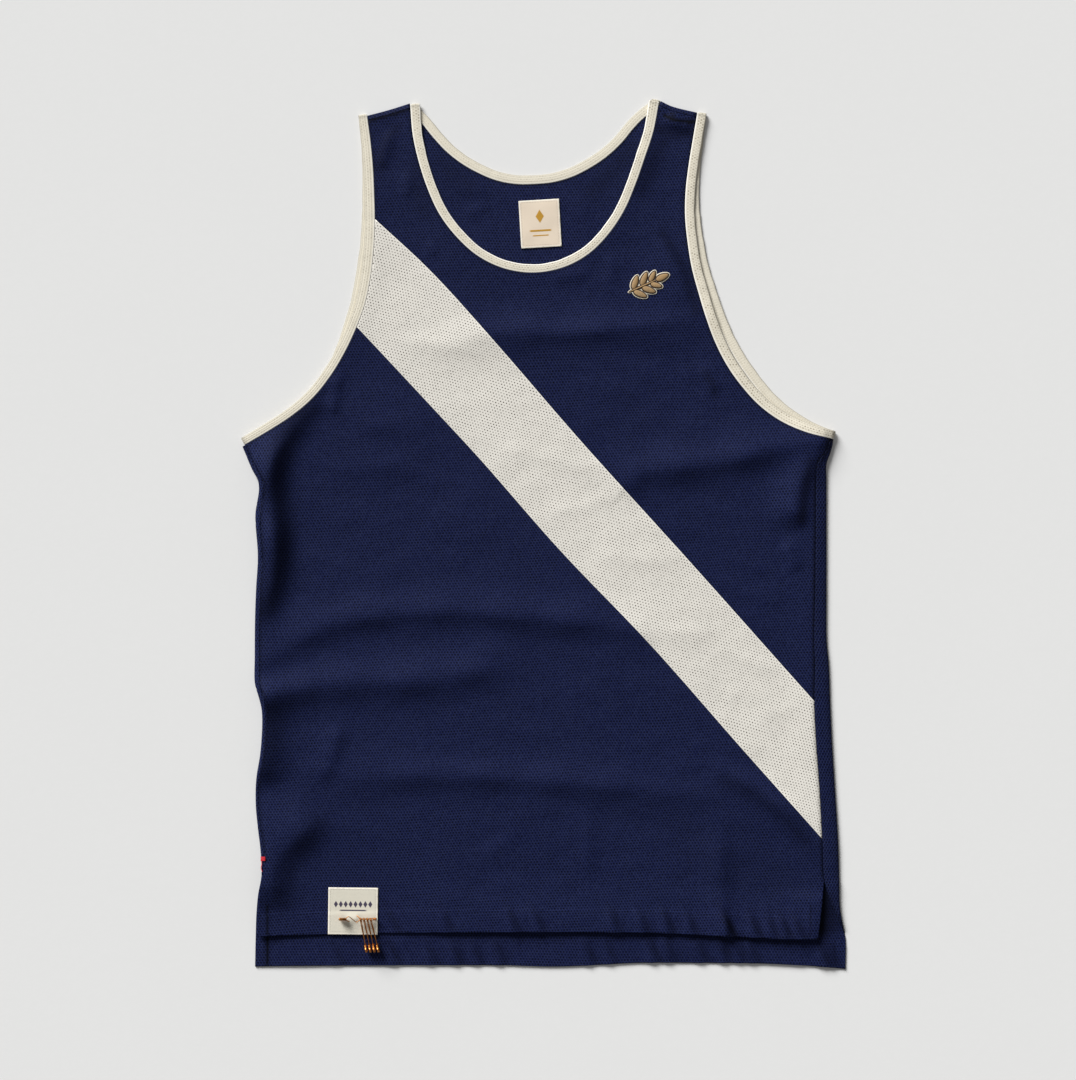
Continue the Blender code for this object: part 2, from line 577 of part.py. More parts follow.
def strip_from(outline, places, table):
    """The rolled strip that starts at some of an outline's points.

    table has a row for each place on the fold: x, y, direction x, direction y, radius, arc."""
    starts = outline[places]
    nearest = [np.argmin(np.hypot(*(table[:, :2] - p).T)) for p in starts]
    rows = table[nearest]
    rolled = rows[:, 5] > SHORTEST_ROLL
    used = rolled.copy()
    used[1:] |= rolled[:-1]
    used[:-1] |= rolled[1:]
    places, starts, rows = np.array(places)[used], starts[used], rows[used]
    return places, rolled[used], rolled_rows(starts, rows[:, 2:4], rows[:, 4], rows[:, 5])


# ---------------------------------------------------------------- panels
def back_panel(collection):
    """The back: flat on the surface, rolled over the shoulders and round the sides."""
    sides = {"left": side_roll(LEFT_FOLD, -1, LEFT_SLIT_TOP),
             "right": side_roll(RIGHT_FOLD, 1, RIGHT_SLIT_TOP)}
    shoulders = {}
    for side, fold in SHOULDERS.items():
        up = np.tile(STRAP_UP[side], (len(fold), 1))
        radii, arcs, reach = roll_of(fold - up * SHOULDER_WRAP, SHOULDER_WRAP)
        shoulders[side] = np.column_stack((fold - up * reach[:, None], up, radii, arcs))
    left_armhole = armhole_edge(LEFT_ARMHOLE_EDGE, LEFT_PEEK, -1)
    right_armhole = armhole_edge(RIGHT_ARMHOLE_EDGE, RIGHT_PEEK, 1)
    edges = [
        sides["left"][:, :2],
        BACK_HEM_EDGE,
        sides["right"][::-1, :2],
        moved_left(right_armhole[::-1], GAP / 2),
        shoulders["right"][::-1, :2],
        moved_left(BACK_NECK_EDGE[::-1], GAP / 2),
        shoulders["left"][::-1, :2],
        moved_left(left_armhole, GAP / 2)]
    outline, places = join_edges(edges)
    strips = [strip_from(outline, places[0], sides["left"]),
              strip_from(outline, places[2], sides["right"]),
              strip_from(outline, places[4], shoulders["right"]),
              strip_from(outline, places[6], shoulders["left"])]
    hem_lines = [BACK_HEM_EDGE + (0, BACK_HEM_DEPTH + step) for step in (HEM_STEP, -HEM_STEP)]
    field = fill_points(outline, BACK_STEP, hem_lines)
    return cloth("back_panel", outline, field, lambda p: back_thickness(p) / 2,
                 back_thickness, "navy_mesh", collection, strips)


def armhole_edge(front_edge, peek, sign):
    """The back's armhole edge: the front's, moved out by the peek."""
    return moved_left(front_edge, sign * along(peek, len(front_edge)))


def shoulder_seam(side):
    return SHOULDERS[side] - STRAP_UP[side] * SHOULDER_WRAP


def front_hem_lines():
    """The two lines between which the front hem's second layer starts."""
    return [FRONT_HEM_EDGE + (0, FRONT_HEM_DEPTH + step) for step in (HEM_STEP, -HEM_STEP)]


def front_panels(collection):
    """The three front panels, each inset by half a seam gap where it is sewn."""
    inset = GAP / 2
    top_seam = smooth_curve(SASH_TOP, EDGE_STEP)
    bottom_seam = smooth_curve(SASH_BOTTOM, EDGE_STEP)
    left_high, left_low = SASH_TOP[0][1], SASH_BOTTOM[0][1]
    right_high, right_low = SASH_TOP[-1][1], SASH_BOTTOM[-1][1]

    def left_armhole(high, low):
        return moved_left(part_between(LEFT_ARMHOLE_EDGE, high, low), inset)

    def right_seam(high, low):
        return moved_left(part_between(RIGHT_SEAM, high, low)[::-1], 2 * inset)

    upper = [moved_left(top_seam, inset),
             right_seam(math.inf, right_high),
             moved_left(RIGHT_ARMHOLE_EDGE[::-1], inset),
             moved_left(shoulder_seam("right")[::-1], 2 * inset),
             moved_left(FRONT_NECK_EDGE[::-1], inset),
             moved_left(shoulder_seam("left")[::-1], 2 * inset),
             left_armhole(math.inf, left_high)]
    sash = [moved_left(bottom_seam, inset),
            right_seam(right_high, right_low),
            moved_left(top_seam[::-1], inset),
            left_armhole(left_high, left_low)]
    lower = [FRONT_HEM_EDGE,
             smooth_curve(RIGHT_SLIT_EDGE, EDGE_STEP)[::-1],
             right_seam(right_low, RIGHT_SLIT_TOP),
             moved_left(bottom_seam[::-1], inset),
             left_armhole(left_low, -math.inf),
             moved_left(LEFT_SEAM, 2 * inset),
             smooth_curve(LEFT_SLIT_EDGE, EDGE_STEP)]
    under_sprig = [grid(*SPRIG_CENTRE, *SPRIG_GRID)]
    under_label = [np.vstack(hem_label_points())]
    for name, edges, slot, lines, patches in (
            ("front_upper_panel", upper, "navy_mesh", (), under_sprig),
            ("front_sash_panel", sash, "cream_mesh", (), ()),
            ("front_lower_panel", lower, "navy_mesh", front_hem_lines(), under_label)):
        outline, _ = join_edges(edges)
        cloth(name, outline, fill_points(outline, FRONT_STEP, lines, patches), front_mid,
              front_thickness, slot, collection)


# ---------------------------------------------------------------- bindings
def binding(name, edge, widths, side, heights, end_heights, collection):
    """A folded binding along a cut edge, on its left (side 1) or right (side -1).

    Its ends roll round the fold, towards the binding of the other panel."""
    count = len(edge)
    widths = along(widths, count)
    across = left_normals(edge) * side
    middle = edge[:, :2] + across * (widths / 2 + GAP / 2)[:, None]
    rows = [(*middle[k], heights[k], *across[k], widths[k]) for k in range(count)]

    def rolled_end(end, before):
        x, y, z, ax, ay, width = rows[end]
        ahead = np.array((x, y)) - np.array(rows[before][:2])
        ahead /= np.linalg.norm(ahead)
        radius = (abs(end_heights[end] - z) - GAP) / 2
        turn = math.copysign(radius, end_heights[end] - z)
        steps = []
        for angle in (0, 30, 60, 90):
            out = radius * (math.sin(math.radians(angle)) - 1)
            rise = turn * (1 - math.cos(math.radians(angle)))
            steps.append((x + ahead[0] * out, y + ahead[1] * out, z + rise, ax, ay, width))
        return steps

    rows = rolled_end(0, 1)[::-1] + rows[1:-1] + rolled_end(-1, -2)
    bm = bmesh.new()
    pairs = []
    for x, y, z, ax, ay, width in rows:
        near = bm.verts.new((x - ax * width / 2, y - ay * width / 2, z))
        far = bm.verts.new((x + ax * width / 2, y + ay * width / 2, z))
        pairs.append((near, far))
    for (a, b), (c, d) in zip(pairs, pairs[1:]):
        bm.faces.new((a, b, d, c) if side < 0 else (a, c, d, b))
    piece = mesh_object(name, bm, "binding_mesh", collection)
    solidify(piece, BINDING)
    rounding = piece.modifiers.new("rounded edges", "BEVEL")
    rounding.width = BINDING_ROUND * MM
    rounding.segments = 1
    rounding.limit_method = "ANGLE"
    rounding.angle_limit = math.radians(60)
    return piece


def bindings(collection):
    """Front and back bindings of the neck and of both armholes."""
    for name, front_edge, back_edge, front_widths, back_widths, side in (
            ("neck", FRONT_NECK_EDGE, BACK_NECK_EDGE, FRONT_NECK_WIDTHS, BACK_NECK_WIDTHS, 1),
            ("left_armhole", LEFT_ARMHOLE_EDGE,
             armhole_edge(LEFT_ARMHOLE_EDGE, LEFT_PEEK, -1),
             LEFT_BINDING_WIDTHS, LEFT_BINDING_WIDTHS, -1),
            ("right_armhole", RIGHT_ARMHOLE_EDGE,
             armhole_edge(RIGHT_ARMHOLE_EDGE, RIGHT_PEEK, 1),
             RIGHT_BINDING_WIDTHS, RIGHT_BINDING_WIDTHS, 1)):
        front_heights = front_mid(front_edge[:, :2])
        back_heights = np.full(len(back_edge), BACK_BINDING_REST)
        ends = (front_heights[0], front_heights[-1])
        binding(f"{name}_binding_front", front_edge, front_widths, side, front_heights,
                {0: BACK_BINDING_REST, -1: BACK_BINDING_REST}, collection)
        binding(f"{name}_binding_back", back_edge, back_widths, side, back_heights,
                {0: ends[0], -1: ends[1]}, collection)


# ---------------------------------------------------------------- labels and embroidery
def turned_box(x, y, width, height, degrees):
    """Corner points of a turned rectangle, anticlockwise, with points along its sides."""
    corners = np.array([(-1, -1), (1, -1), (1, 1), (-1, 1), (-1, -1)]) * (width / 2, height / 2)
    around = np.vstack([resample(corners[k:k + 2], LABEL_STEPS[0])[:-1] for k in range(4)])
    turn = math.radians(degrees)
    spin = np.array(((math.cos(turn), math.sin(turn)), (-math.sin(turn), math.cos(turn))))
    return around @ spin + (x, y)


def over_tunnel(points):
    """How far the hem label rises over the holder pin's lower arm."""
    middle, flat, end_slope, side_slope, rise = TUNNEL
    past = np.maximum(abs(points[:, 0] - middle) - flat, 0.0) / end_slope
    beside = (points[:, 1] - HOLDER_Y) / side_slope
    return rise * np.exp(-past ** 2 - beside ** 2)


def hem_label_mid(points):
    return front_top(points) + GAP + CLOTH / 2 + over_tunnel(points)


def plain_wall(points):
    return np.full(len(points), CLOTH)


def hem_label_points():
    """The hem label's outline and field, which the panel under it takes up too."""
    outline = turned_box(*HEM_LABEL)
    lines = [resample(line, LABEL_STEPS[2]) for line in front_hem_lines()]
    return outline, fill_points(outline, LABEL_STEPS[1], lines)


def labels(collection):
    outline = turned_box(*NECK_LABEL)
    cloth("neck_label", outline, fill_points(outline, NECK_LABEL_STEP),
          lambda p: back_thickness(p) + GAP + CLOTH / 2, plain_wall, "label_weave", collection)
    outline, field = hem_label_points()
    tunnel = grid(TUNNEL[0], HOLDER_Y, *TUNNEL_GRID)
    low, high = tunnel.min(axis=0) - TUNNEL_GRID[2], tunnel.max(axis=0) + TUNNEL_GRID[2]
    field = field[(field < low).any(axis=1) | (field > high).any(axis=1)]
    return cloth("hem_label", outline, np.vstack((field, tunnel)), hem_label_mid, plain_wall,
                 "label_weave", collection)


def leaf_side(root, tip, bulge):
    """Points from a leaf's root to its tip along one side, bulge to the left."""
    root, tip = np.array(root), np.array(tip)
    ahead = tip - root
    left = np.array((-ahead[1], ahead[0])) / np.linalg.norm(ahead)
    return [root + ahead * share + left * bulge * width
            for share, width in ((0.25, 0.8), (0.5, 1.0), (0.75, 0.72))]


def sprig_outline():
    """Outline of the sprig, anticlockwise, with its stem along +X before it is turned."""
    length, width = SPRIG_STEM
    foot, lean = SPRIG_LEAF_ROOT
    sides = []
    for sign in (-1, 1):
        side = [np.array((0.0, sign * width / 2))]
        for start, reach, leaf, degrees in SPRIG_LEAVES:
            turn = math.radians(degrees)
            heel = np.array((start, sign * width / 2))
            toe = heel + (foot, 0.0)
            tip = heel + (reach * math.cos(turn) + lean, sign * reach * math.sin(turn))
            out = leaf_side(heel, tip, sign * leaf / 2)
            back = leaf_side(toe, tip, -sign * leaf / 2)[::-1]
            side += [heel, *out, tip, *back, toe]
        sides.append(side)
    leaf_length, leaf_width, covered = SPRIG_TIP_LEAF
    neck = length - covered
    tip = neck + leaf_length
    lower = [np.array((neck, -width / 2)), *leaf_side((neck, 0), (tip, 0), -leaf_width / 2)]
    upper = [*leaf_side((neck, 0), (tip, 0), leaf_width / 2)[::-1], np.array((neck, width / 2))]
    outline = np.array(sides[0] + lower + [np.array((tip, 0.0))] + upper + sides[1][::-1])
    outline -= (tip / 2, 0.0)
    turn = math.radians(SPRIG_TURN)
    spin = np.array(((math.cos(turn), math.sin(turn)), (-math.sin(turn), math.cos(turn))))
    return outline @ spin + SPRIG_CENTRE


def embroidery(collection):
    """The sprig on the chest and the red bar tack at the left slit."""
    outline = sprig_outline()
    cloth("chest_sprig", outline, np.empty((0, 2)),
          lambda p: front_top(p) + GAP + SPRIG_THICK / 2,
          lambda p: np.full(len(p), SPRIG_THICK), "gold_thread", collection)
    x, y, width, height, thick = BAR_TACK
    tail_length, tail_width = BAR_TACK_TAIL
    left, right, low, high = x - width / 2, x + width / 2, y - height / 2, y + height / 2
    tail = left + 1.2
    outline = np.array([(left, low), (tail, low), (tail + 0.3, low - tail_length / 2),
                        (tail - 0.2, low - tail_length),
                        (tail - 0.2 + tail_width, low - tail_length),
                        (tail + 0.3 + tail_width, low - tail_length / 2),
                        (tail + tail_width, low), (right, low), (right, high), (left, high)])
    cloth("side_bar_tack", outline, np.empty((0, 2)),
          lambda p: front_top(p) + GAP + thick / 2,
          lambda p: np.full(len(p), thick), "red_thread", collection)


# ---------------------------------------------------------------- safety pins
def pin_wire_points(length):
    """A pin's wire in its own frame: u along the pin from its coil, v along the coil's axis,
    w across the pin. Lower arm, coil, upper arm."""
    arm_end = length - CAP_WALL[0] - 2 * GAP
    half_rise = COIL_TURNS * COIL_PITCH / 2
    points = [(arm_end, 0.0, -CAP_ARM_SPREAD),
              (arm_end - CAP_ARM_STRAIGHT, 0.0, -CAP_ARM_SPREAD),
              (length / 2, -half_rise / 2, -(CAP_ARM_SPREAD + COIL_RADIUS) / 2)]
    count = int(COIL_TURNS * COIL_POINTS_PER_TURN)
    for k in range(count + 1):
        angle = -math.pi / 2 - 2 * math.pi * COIL_TURNS * k / count
        points.append((COIL_RADIUS * math.cos(angle), half_rise * (2 * k / count - 1),
                       COIL_RADIUS * math.sin(angle)))
    points += [(length / 2, half_rise / 2, (CAP_ARM_SPREAD + COIL_RADIUS) / 2),
               (arm_end - CAP_ARM_STRAIGHT, 0.0, CAP_ARM_SPREAD),
               (arm_end, 0.0, CAP_ARM_SPREAD)]
    return points


def upper_arm(length, distance):
    """Place on a pin's upper arm at a distance from its coil, in the pin's own frame."""
    half_rise = COIL_TURNS * COIL_PITCH / 2
    share = distance / (length / 2)
    return Vector((distance, half_rise * (1 - share / 2),
                   COIL_RADIUS + (CAP_ARM_SPREAD - COIL_RADIUS) / 2 * share))


def safety_pin(name, frame, length, collection, cutters):
    """A closed safety pin: a wire with a coil, and a cap over both its ends."""
    curve = bpy.data.curves.new(f"{name}_wire", "CURVE")
    curve.dimensions = "3D"
    curve.bevel_depth = WIRE_RADIUS * MM
    curve.bevel_resolution = 2
    curve.use_fill_caps = True
    spline = curve.splines.new("POLY")
    points = [frame @ Vector(p) * MM for p in pin_wire_points(length)]
    spline.points.add(len(points) - 1)
    for point, place in zip(spline.points, points):
        point.co = (*place, 1.0)
    add_object(f"{name}_wire", curve, "brass", collection, roughness=0.3, metallic=1.0)

    cap_length, cap_width, cap_thick = CAP
    end, sides, edges = CAP_WALL
    cap = box_object(f"{name}_cap", (cap_length, cap_thick, cap_width), collection, "brass",
                     roughness=0.3, metallic=1.0)
    hollow = box_object(f"{name}_cap_hollow",
                        (cap_length, cap_thick - 2 * sides, cap_width - 2 * edges), cutters)
    middle = Vector((length - cap_length / 2, 0.0, 0.0))
    for box, place in ((cap, middle), (hollow, middle - Vector((end, 0.0, 0.0)))):
        box.matrix_world = Matrix.Translation(frame @ place * MM) @ frame.to_3x3().to_4x4()
    rounding = cap.modifiers.new("rounded", "BEVEL")
    rounding.width = CAP_ROUND * MM
    rounding.segments = 2
    cut = cap.modifiers.new("hollow", "BOOLEAN")
    cut.operation = "DIFFERENCE"
    cut.object = hollow


def box_object(name, size, collection, slot=None, **finish):
    """A box about its own middle, from a cube. Without a slot it is a hidden cutter."""
    bm = bmesh.new()
    bmesh.ops.create_cube(bm, size=1.0)
    bmesh.ops.scale(bm, vec=size, verts=bm.verts)
    if slot:
        return mesh_object(name, bm, slot, collection, **finish)
    bmesh.ops.scale(bm, vec=(MM, MM, MM), verts=bm.verts)
    mesh = bpy.data.meshes.new(name)
    bm.to_mesh(mesh)
    bm.free()
    return hidden_cutter(name, mesh, collection)


def hidden_cutter(name, data, collection):
    cutter = bpy.data.objects.new(name, data)
    collection.objects.link(cutter)
    cutter.hide_render = True
    cutter.display_type = "WIRE"
    return cutter


def pin_frame(origin, along_pin, across):
    """Frame of a pin in millimetres, from its coil's middle and two directions."""
    u = along_pin.normalized()
    v = across.cross(u).normalized()
    w = u.cross(v)
    return Matrix.Translation(origin) @ Matrix((u, v, w)).transposed().to_4x4()


def safety_pins(hem_label, collection, cutters):
    """The holder pin through the hem label, and the pins that hang on its upper arm."""
    label_top = float(hem_label_mid(np.array([(HOLDER_X, HOLDER_Y)]))[0]) + CLOTH / 2
    origin = Vector((HOLDER_X, HOLDER_Y, label_top + HOLDER_ABOVE_LABEL))
    tilt = math.radians(HOLDER_TILT)
    holder = pin_frame(origin, Vector((-math.cos(tilt), 0.0, math.sin(tilt))),
                       Vector((0.0, 0.0, 1.0)))
    safety_pin("holder_pin", holder, HOLDER_LENGTH, collection, cutters)

    bpy.ops.mesh.primitive_cylinder_add(vertices=12, radius=(WIRE_RADIUS + GAP) * MM,
                                        depth=TUNNEL_DRILL * MM)
    drill = bpy.context.object
    drill_mesh = drill.data
    bpy.data.objects.remove(drill)
    drill = hidden_cutter("arm_clearance", drill_mesh, cutters)
    distance = HOLDER_X - TUNNEL[0]
    place = upper_arm(HOLDER_LENGTH, distance)
    lower = holder @ Vector((place.x, -place.y, -place.z))
    turn = holder.to_3x3().to_4x4() @ Matrix.Rotation(math.radians(90), 4, "Y")
    drill.matrix_world = Matrix.Translation(lower * MM) @ turn
    cut = hem_label.modifiers.new("arm clearance", "BOOLEAN")
    cut.operation = "DIFFERENCE"
    cut.object = drill

    droop = math.radians(HANGING_DROOP)
    for k in range(HANGING_PINS):
        pivot = holder @ upper_arm(HOLDER_LENGTH, HANGING_FIRST + k * HANGING_PITCH)
        fan = math.radians(HANGING_FAN[k])
        ahead = Vector((math.sin(fan) * math.cos(droop), -math.cos(fan) * math.cos(droop),
                        -math.sin(droop)))
        frame = pin_frame(pivot, ahead, Vector((0.0, 0.0, 1.0)))
        safety_pin(f"hanging_pin_{k + 1}", frame, HANGING_LENGTH, collection, cutters)


def main():
    clear_scene()
    parts = bpy.data.collections.new("running_singlet")
    cutters = bpy.data.collections.new("cutters")
    for collection in (parts, cutters):
        bpy.context.scene.collection.children.link(collection)
    back_panel(parts)
    front_panels(parts)
    bindings(parts)
    hem_label = labels(parts)
    embroidery(parts)
    safety_pins(hem_label, parts, cutters)


main()
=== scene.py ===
"""Running singlet in mesh knit, laid flat: cloth, bindings, labels and pins on its frame.

The row frame: +X to the viewer's right, +Y towards the neck, +Z up off the surface. Lengths
are in millimetres in the tables and functions, and in metres in the finished meshes. The
back panel lies on the floor and rolls round both sides and over both shoulders; the front,
cut in three, lies on it in soft folds.
"""
import math

import bmesh
import bpy
import numpy as np
from bpy.props import FloatProperty, FloatVectorProperty, PointerProperty
from mathutils import Matrix, Vector
from mathutils.geometry import delaunay_2d_cdt


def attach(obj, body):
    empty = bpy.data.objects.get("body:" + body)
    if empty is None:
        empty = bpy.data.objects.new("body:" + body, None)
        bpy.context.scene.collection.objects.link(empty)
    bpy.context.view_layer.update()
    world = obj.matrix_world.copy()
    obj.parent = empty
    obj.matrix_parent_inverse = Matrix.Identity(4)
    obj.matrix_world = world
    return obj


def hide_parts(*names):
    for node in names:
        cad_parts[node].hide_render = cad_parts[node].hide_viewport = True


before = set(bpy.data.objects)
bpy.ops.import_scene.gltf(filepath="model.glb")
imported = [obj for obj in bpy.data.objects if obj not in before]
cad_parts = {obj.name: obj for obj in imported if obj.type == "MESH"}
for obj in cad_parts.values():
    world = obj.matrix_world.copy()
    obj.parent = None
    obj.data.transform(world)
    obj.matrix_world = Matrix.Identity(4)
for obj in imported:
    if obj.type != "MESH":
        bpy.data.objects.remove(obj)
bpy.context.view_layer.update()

bl_info = {
    "name": "Running Singlet",
    "version": (1, 0, 0),
    "blender": (4, 5, 0),
    "location": "View3D > Sidebar > Singlet",
    "description": "Cloth, bindings, labels, embroidery and safety pins of a running singlet",
    "category": "Object",
}

MM = 0.001

# ------------------------------------------------------------------ driving dimensions (mm)
GAP = 0.2               # between sewn pieces and between layers
HEM_EXTRA = 0.4         # how much a turned-up hem adds to the cloth
HEM_STEP = 1.8          # half the width in which a hem's second layer starts
HEM_LIFT = 2.0          # how far a hem's edge stands up
HEM_LIFT_REACH = 34.0
PUCKER_RISE = 2.8
PUCKER_WIDTH = 3.4
PUCKER_SHIFT = -4.0     # from a pucker's hollow to its ridge
PUCKER_SLANT = 0.2
PUCKER_MIDDLE = 0.6     # where a pucker is highest, and its reach, as shares of the hem
PUCKER_REACH = 0.8
# Painted shade in the hollow beside each pucker: its slant, and how dark it is.
HOLLOW_SLANT = 0.5
HOLLOW_SHADE = 0.7      # how dark the hollow beside a pucker is
BAND_THICK = 1.6
BAND_SQUARENESS = 3.4   # how full the rounded section of a binding is
BAND_POINTS = 20
BAND_CHART = 8.8        # width of a binding on its own cloth chart
BAND_END = 1.6          # stretch before the turned end of a binding
BAND_FULLNESS = 0.95    # area of a binding's strip as a share of its box
SHOULDER_WRAP = 4.0
LEFT_STRAP_TOP = 336    # where the front's armhole edges end
RIGHT_STRAP_TOP = 338
FREE_ROLL = 1.4
SHORTEST_ROLL = 0.4
SHORTEST_CLIMB = 1.0
ROLL_SAG = 0.68         # height of a side's fold as a share of its seam's
FOLD_SHADE = 0.42       # how dark the right side's fold is, away from the light
FOLD_SHADE_START = 1.5
FOLD_SHADE_WIDTH = 4.2
ROLL_STEPS = 8
BACK_STEPS = 5          # rows from a fold on to its seam

BACK_REST = 0.43        # mid-height of the back panel
BACK_RISE = 0.35        # how far the back's ripples stand over the floor
BACK_ROOM = 0.12        # between the back and the front
BACK_FOLD_SHARE = 0.42  # how much of the front's folds the back follows
FRONT_REST = 1.8        # lowest mid-height of the front panels
BACK_BAND_REST = 0.82
FRONT_LOFT = 0.55       # how far the front's ripples stand over the back
SASH_CALM = 0.58        # how much lower folds and ripples are on the sash
SASH_BLEND = 26.0
SASH_GROOVE = 0.22
SASH_GROOVE_WIDTH = 1.4
EDGE_CALM = 0.8         # how much lower ripples are at sewn edges
EDGE_LIFT = 1.05
SIDE_LIFT = 1.5
EDGE_LIFT_REACH = 14.0
SIDE_LIFT_REACH = 24.0
LIFT_POWER = 4          # how suddenly one lift takes over from the next

FOLD_END = 0.3          # share of its crest over which a fold's end dies away
FOLD_REACH = 2.7        # how far a fold is worked out, in flank widths
SWELL = 0.14            # how much a fold swells along its crest, and how often
SWELL_LENGTH = 55
CREST_SHARE = 0.1       # share of a fold's height that is in its sharper crest
CREST_SHARPNESS = 2.1
CREASE_END = 0.05
WAVE_COUNT = 26
WAVE_ACROSS, WAVE_ALONG = 0.8, 1.3
RIPPLES = [(0.2, 0, 50, 140), (0.1, 1, 24, 50), (0.04, 3, 12, 24)]  # share, seed, lengths
FRONT_SEED, BACK_SEED = 11, 31
GRAIN_SEEDS = (51, 52)
GRAIN_DRIFT = (0.5, 70, 190)                    # size and lengths of the knit's uneven rows
BAND_WIDTH_WAVES = (0.01, 71, 9, 30)            # share, seed, lengths
BAND_HEIGHT_WAVES = (0.06, 72, 12, 40)

HEM_STITCH = 2.6        # length of a stitch and its gap
BAND_STITCH = 2.4
LABEL_STITCH = 2.2
BAND_STITCH_LINE = 2.1  # from the middle of a binding to its two lines of stitches
HOLE_SOFTNESS = 0.22
RIB_PITCH = 2.3         # of the ribs along a binding
PUCKER_PITCH = 2.0      # of the puckers across it

FLOOR_SIZE = 2500       # half its width
FLOOR_DROP = 0.1
CAMERA_OVER = (-4.24, -5.14)
LENS, SENSOR = 100.0, 36.0

FRONT_STEP = 2.6        # triangle size of the front panels
BACK_STEP = 4.2
LABEL_STEP = 1.2
LABEL_EDGE_STEP = 1.6
THREAD_STEP = 0.7
EDGE_STEP = 3.0
CREST_STEP = 5.0
CURVE_STEP = 13.0       # spacing of the curves that lift the cloth near them
SPLINE_READS = 12       # between two points of a table
WIDTH_TABLE = 100       # length on which a table of widths is spread
SHORTEST_STEP = 0.5     # between a curve's cut end and its next point
EDGE_RING = 0.6         # width of the rounded rim of a cut edge
RING_SLACK = 0.8
LINE_CLEARANCE = 0.4    # of a triangle's size, between mesh lines and other points
FIELD_CLEARANCE = 0.55
WELD = 1e-5
GROOVE_SIDE = 1.8       # from a groove to the mesh lines beside it
MARK_REACH = 12.0       # how far from an edge its marks are worked out
SLIT_END = 3.0          # length in which the stitches of a slit come to their end
PAIRS_AT_ONCE = 1_500_000
EVEN_WALL = 0.01        # a wall that changes less than this counts as even

# ------------------------------------------------------------------ cut edges (x, y)
LEFT_ARMHOLE = [(-143.5, 341.5), (-140.5, 319.5), (-138.5, 298), (-137.5, 276), (-137, 253),
                (-138, 231), (-140.5, 209), (-145, 187.5), (-152.5, 167), (-162, 147),
                (-173.5, 128), (-188, 110), (-205, 95.5), (-223.5, 83.5), (-242.5, 72.5)]
RIGHT_ARMHOLE = [(125.5, 343), (122, 322.5), (118.5, 301), (116, 280), (115.5, 259),
                 (117.5, 238), (121, 216.5), (126.5, 196), (132.5, 176), (140, 156),
                 (150, 136.5), (162.5, 119), (177, 103.5), (194.5, 91), (215, 82), (235.5, 77)]
FRONT_NECK = [(-108.5, 349.5), (-106.5, 325.5), (-101.5, 303), (-94.5, 281.5), (-84.5, 260),
              (-70, 241), (-53, 226), (-32, 216), (-8.5, 212.5), (15.5, 216.5), (36, 227),
              (52.5, 243), (66, 263), (75.5, 285), (83, 306.5), (90, 328), (94.5, 351.5)]
BACK_NECK = [(-108.5, 349.5), (-108, 345.5), (-105.2, 341), (-99, 334.5), (-90.5, 324),
             (-79.5, 312), (-67, 302), (-53, 294), (-38.5, 288), (-22.5, 285), (-6.5, 285),
             (8.5, 286.5), (24, 291), (38, 298), (51.5, 307), (63.5, 318), (73, 329.5),
             (80, 337), (86.5, 342.3), (91.8, 346), (94.7, 349), (95.6, 352.5)]
SASH_TOP = [(-137, 256.5), (-91.5, 214), (-38, 155), (30, 76.5), (123, -26.5), (221, -136.5)]
SASH_BOTTOM = [(-152, 168.5), (-129, 144), (-87.5, 99.5), (-51, 60), (13.5, -13.5),
               (88.5, -92), (162, -175.5), (227.5, -249)]
FRONT_HEM = [(-233, -328), (-174, -326.5), (-76, -325), (79, -325), (144.5, -327.5),
             (193, -330), (223.5, -330.5)]
BACK_HEM = [(-235, -353), (-198.5, -352.5), (-35.5, -352), (13.5, -353), (79, -350),
            (128, -350), (177, -350.5), (226, -353), (246.5, -355)]
FRONT_HEM_DEPTH = 17.5
BACK_HEM_DEPTH = 20.0
FRONT_SLIT_STITCHES = [(216.7, -284.0), (-224.5, -290.0)]    # line and top
BACK_SLIT_STITCHES = [(238.1, -332.0), (-225.0, -332.0)]
LEFT_SHOULDER = [(-143, 341), (-126, 345.5), (-108.5, 351)]
RIGHT_SHOULDER = [(95.5, 353), (105, 348.5), (125, 343.5)]

FRONT_NECK_WIDTHS = (8.2, 7.4, 7.2, 6.9, 6.9, 7.1, 7.5, 8.3)
BACK_NECK_WIDTHS = (7.2, 7.5, 7.6, 7.4, 7.7, 7.4, 7.2)
LEFT_BAND_WIDTHS = (7.2, 8.2, 8.2, 7.4, 6.8, 6.4)
RIGHT_BAND_WIDTHS = (7.6, 7.8, 8.0, 8.2, 8.4, 8.2, 6.8)
LEFT_PEEK = (0.0, 0.6, 1.8, 3.2, 4.4, 3.4, 0.2, 0.0, 0.0, 0.0)
RIGHT_PEEK = (0.0, 2.2, 4.8, 6.2, 7.8, 8.6, 5.6, 0.0)

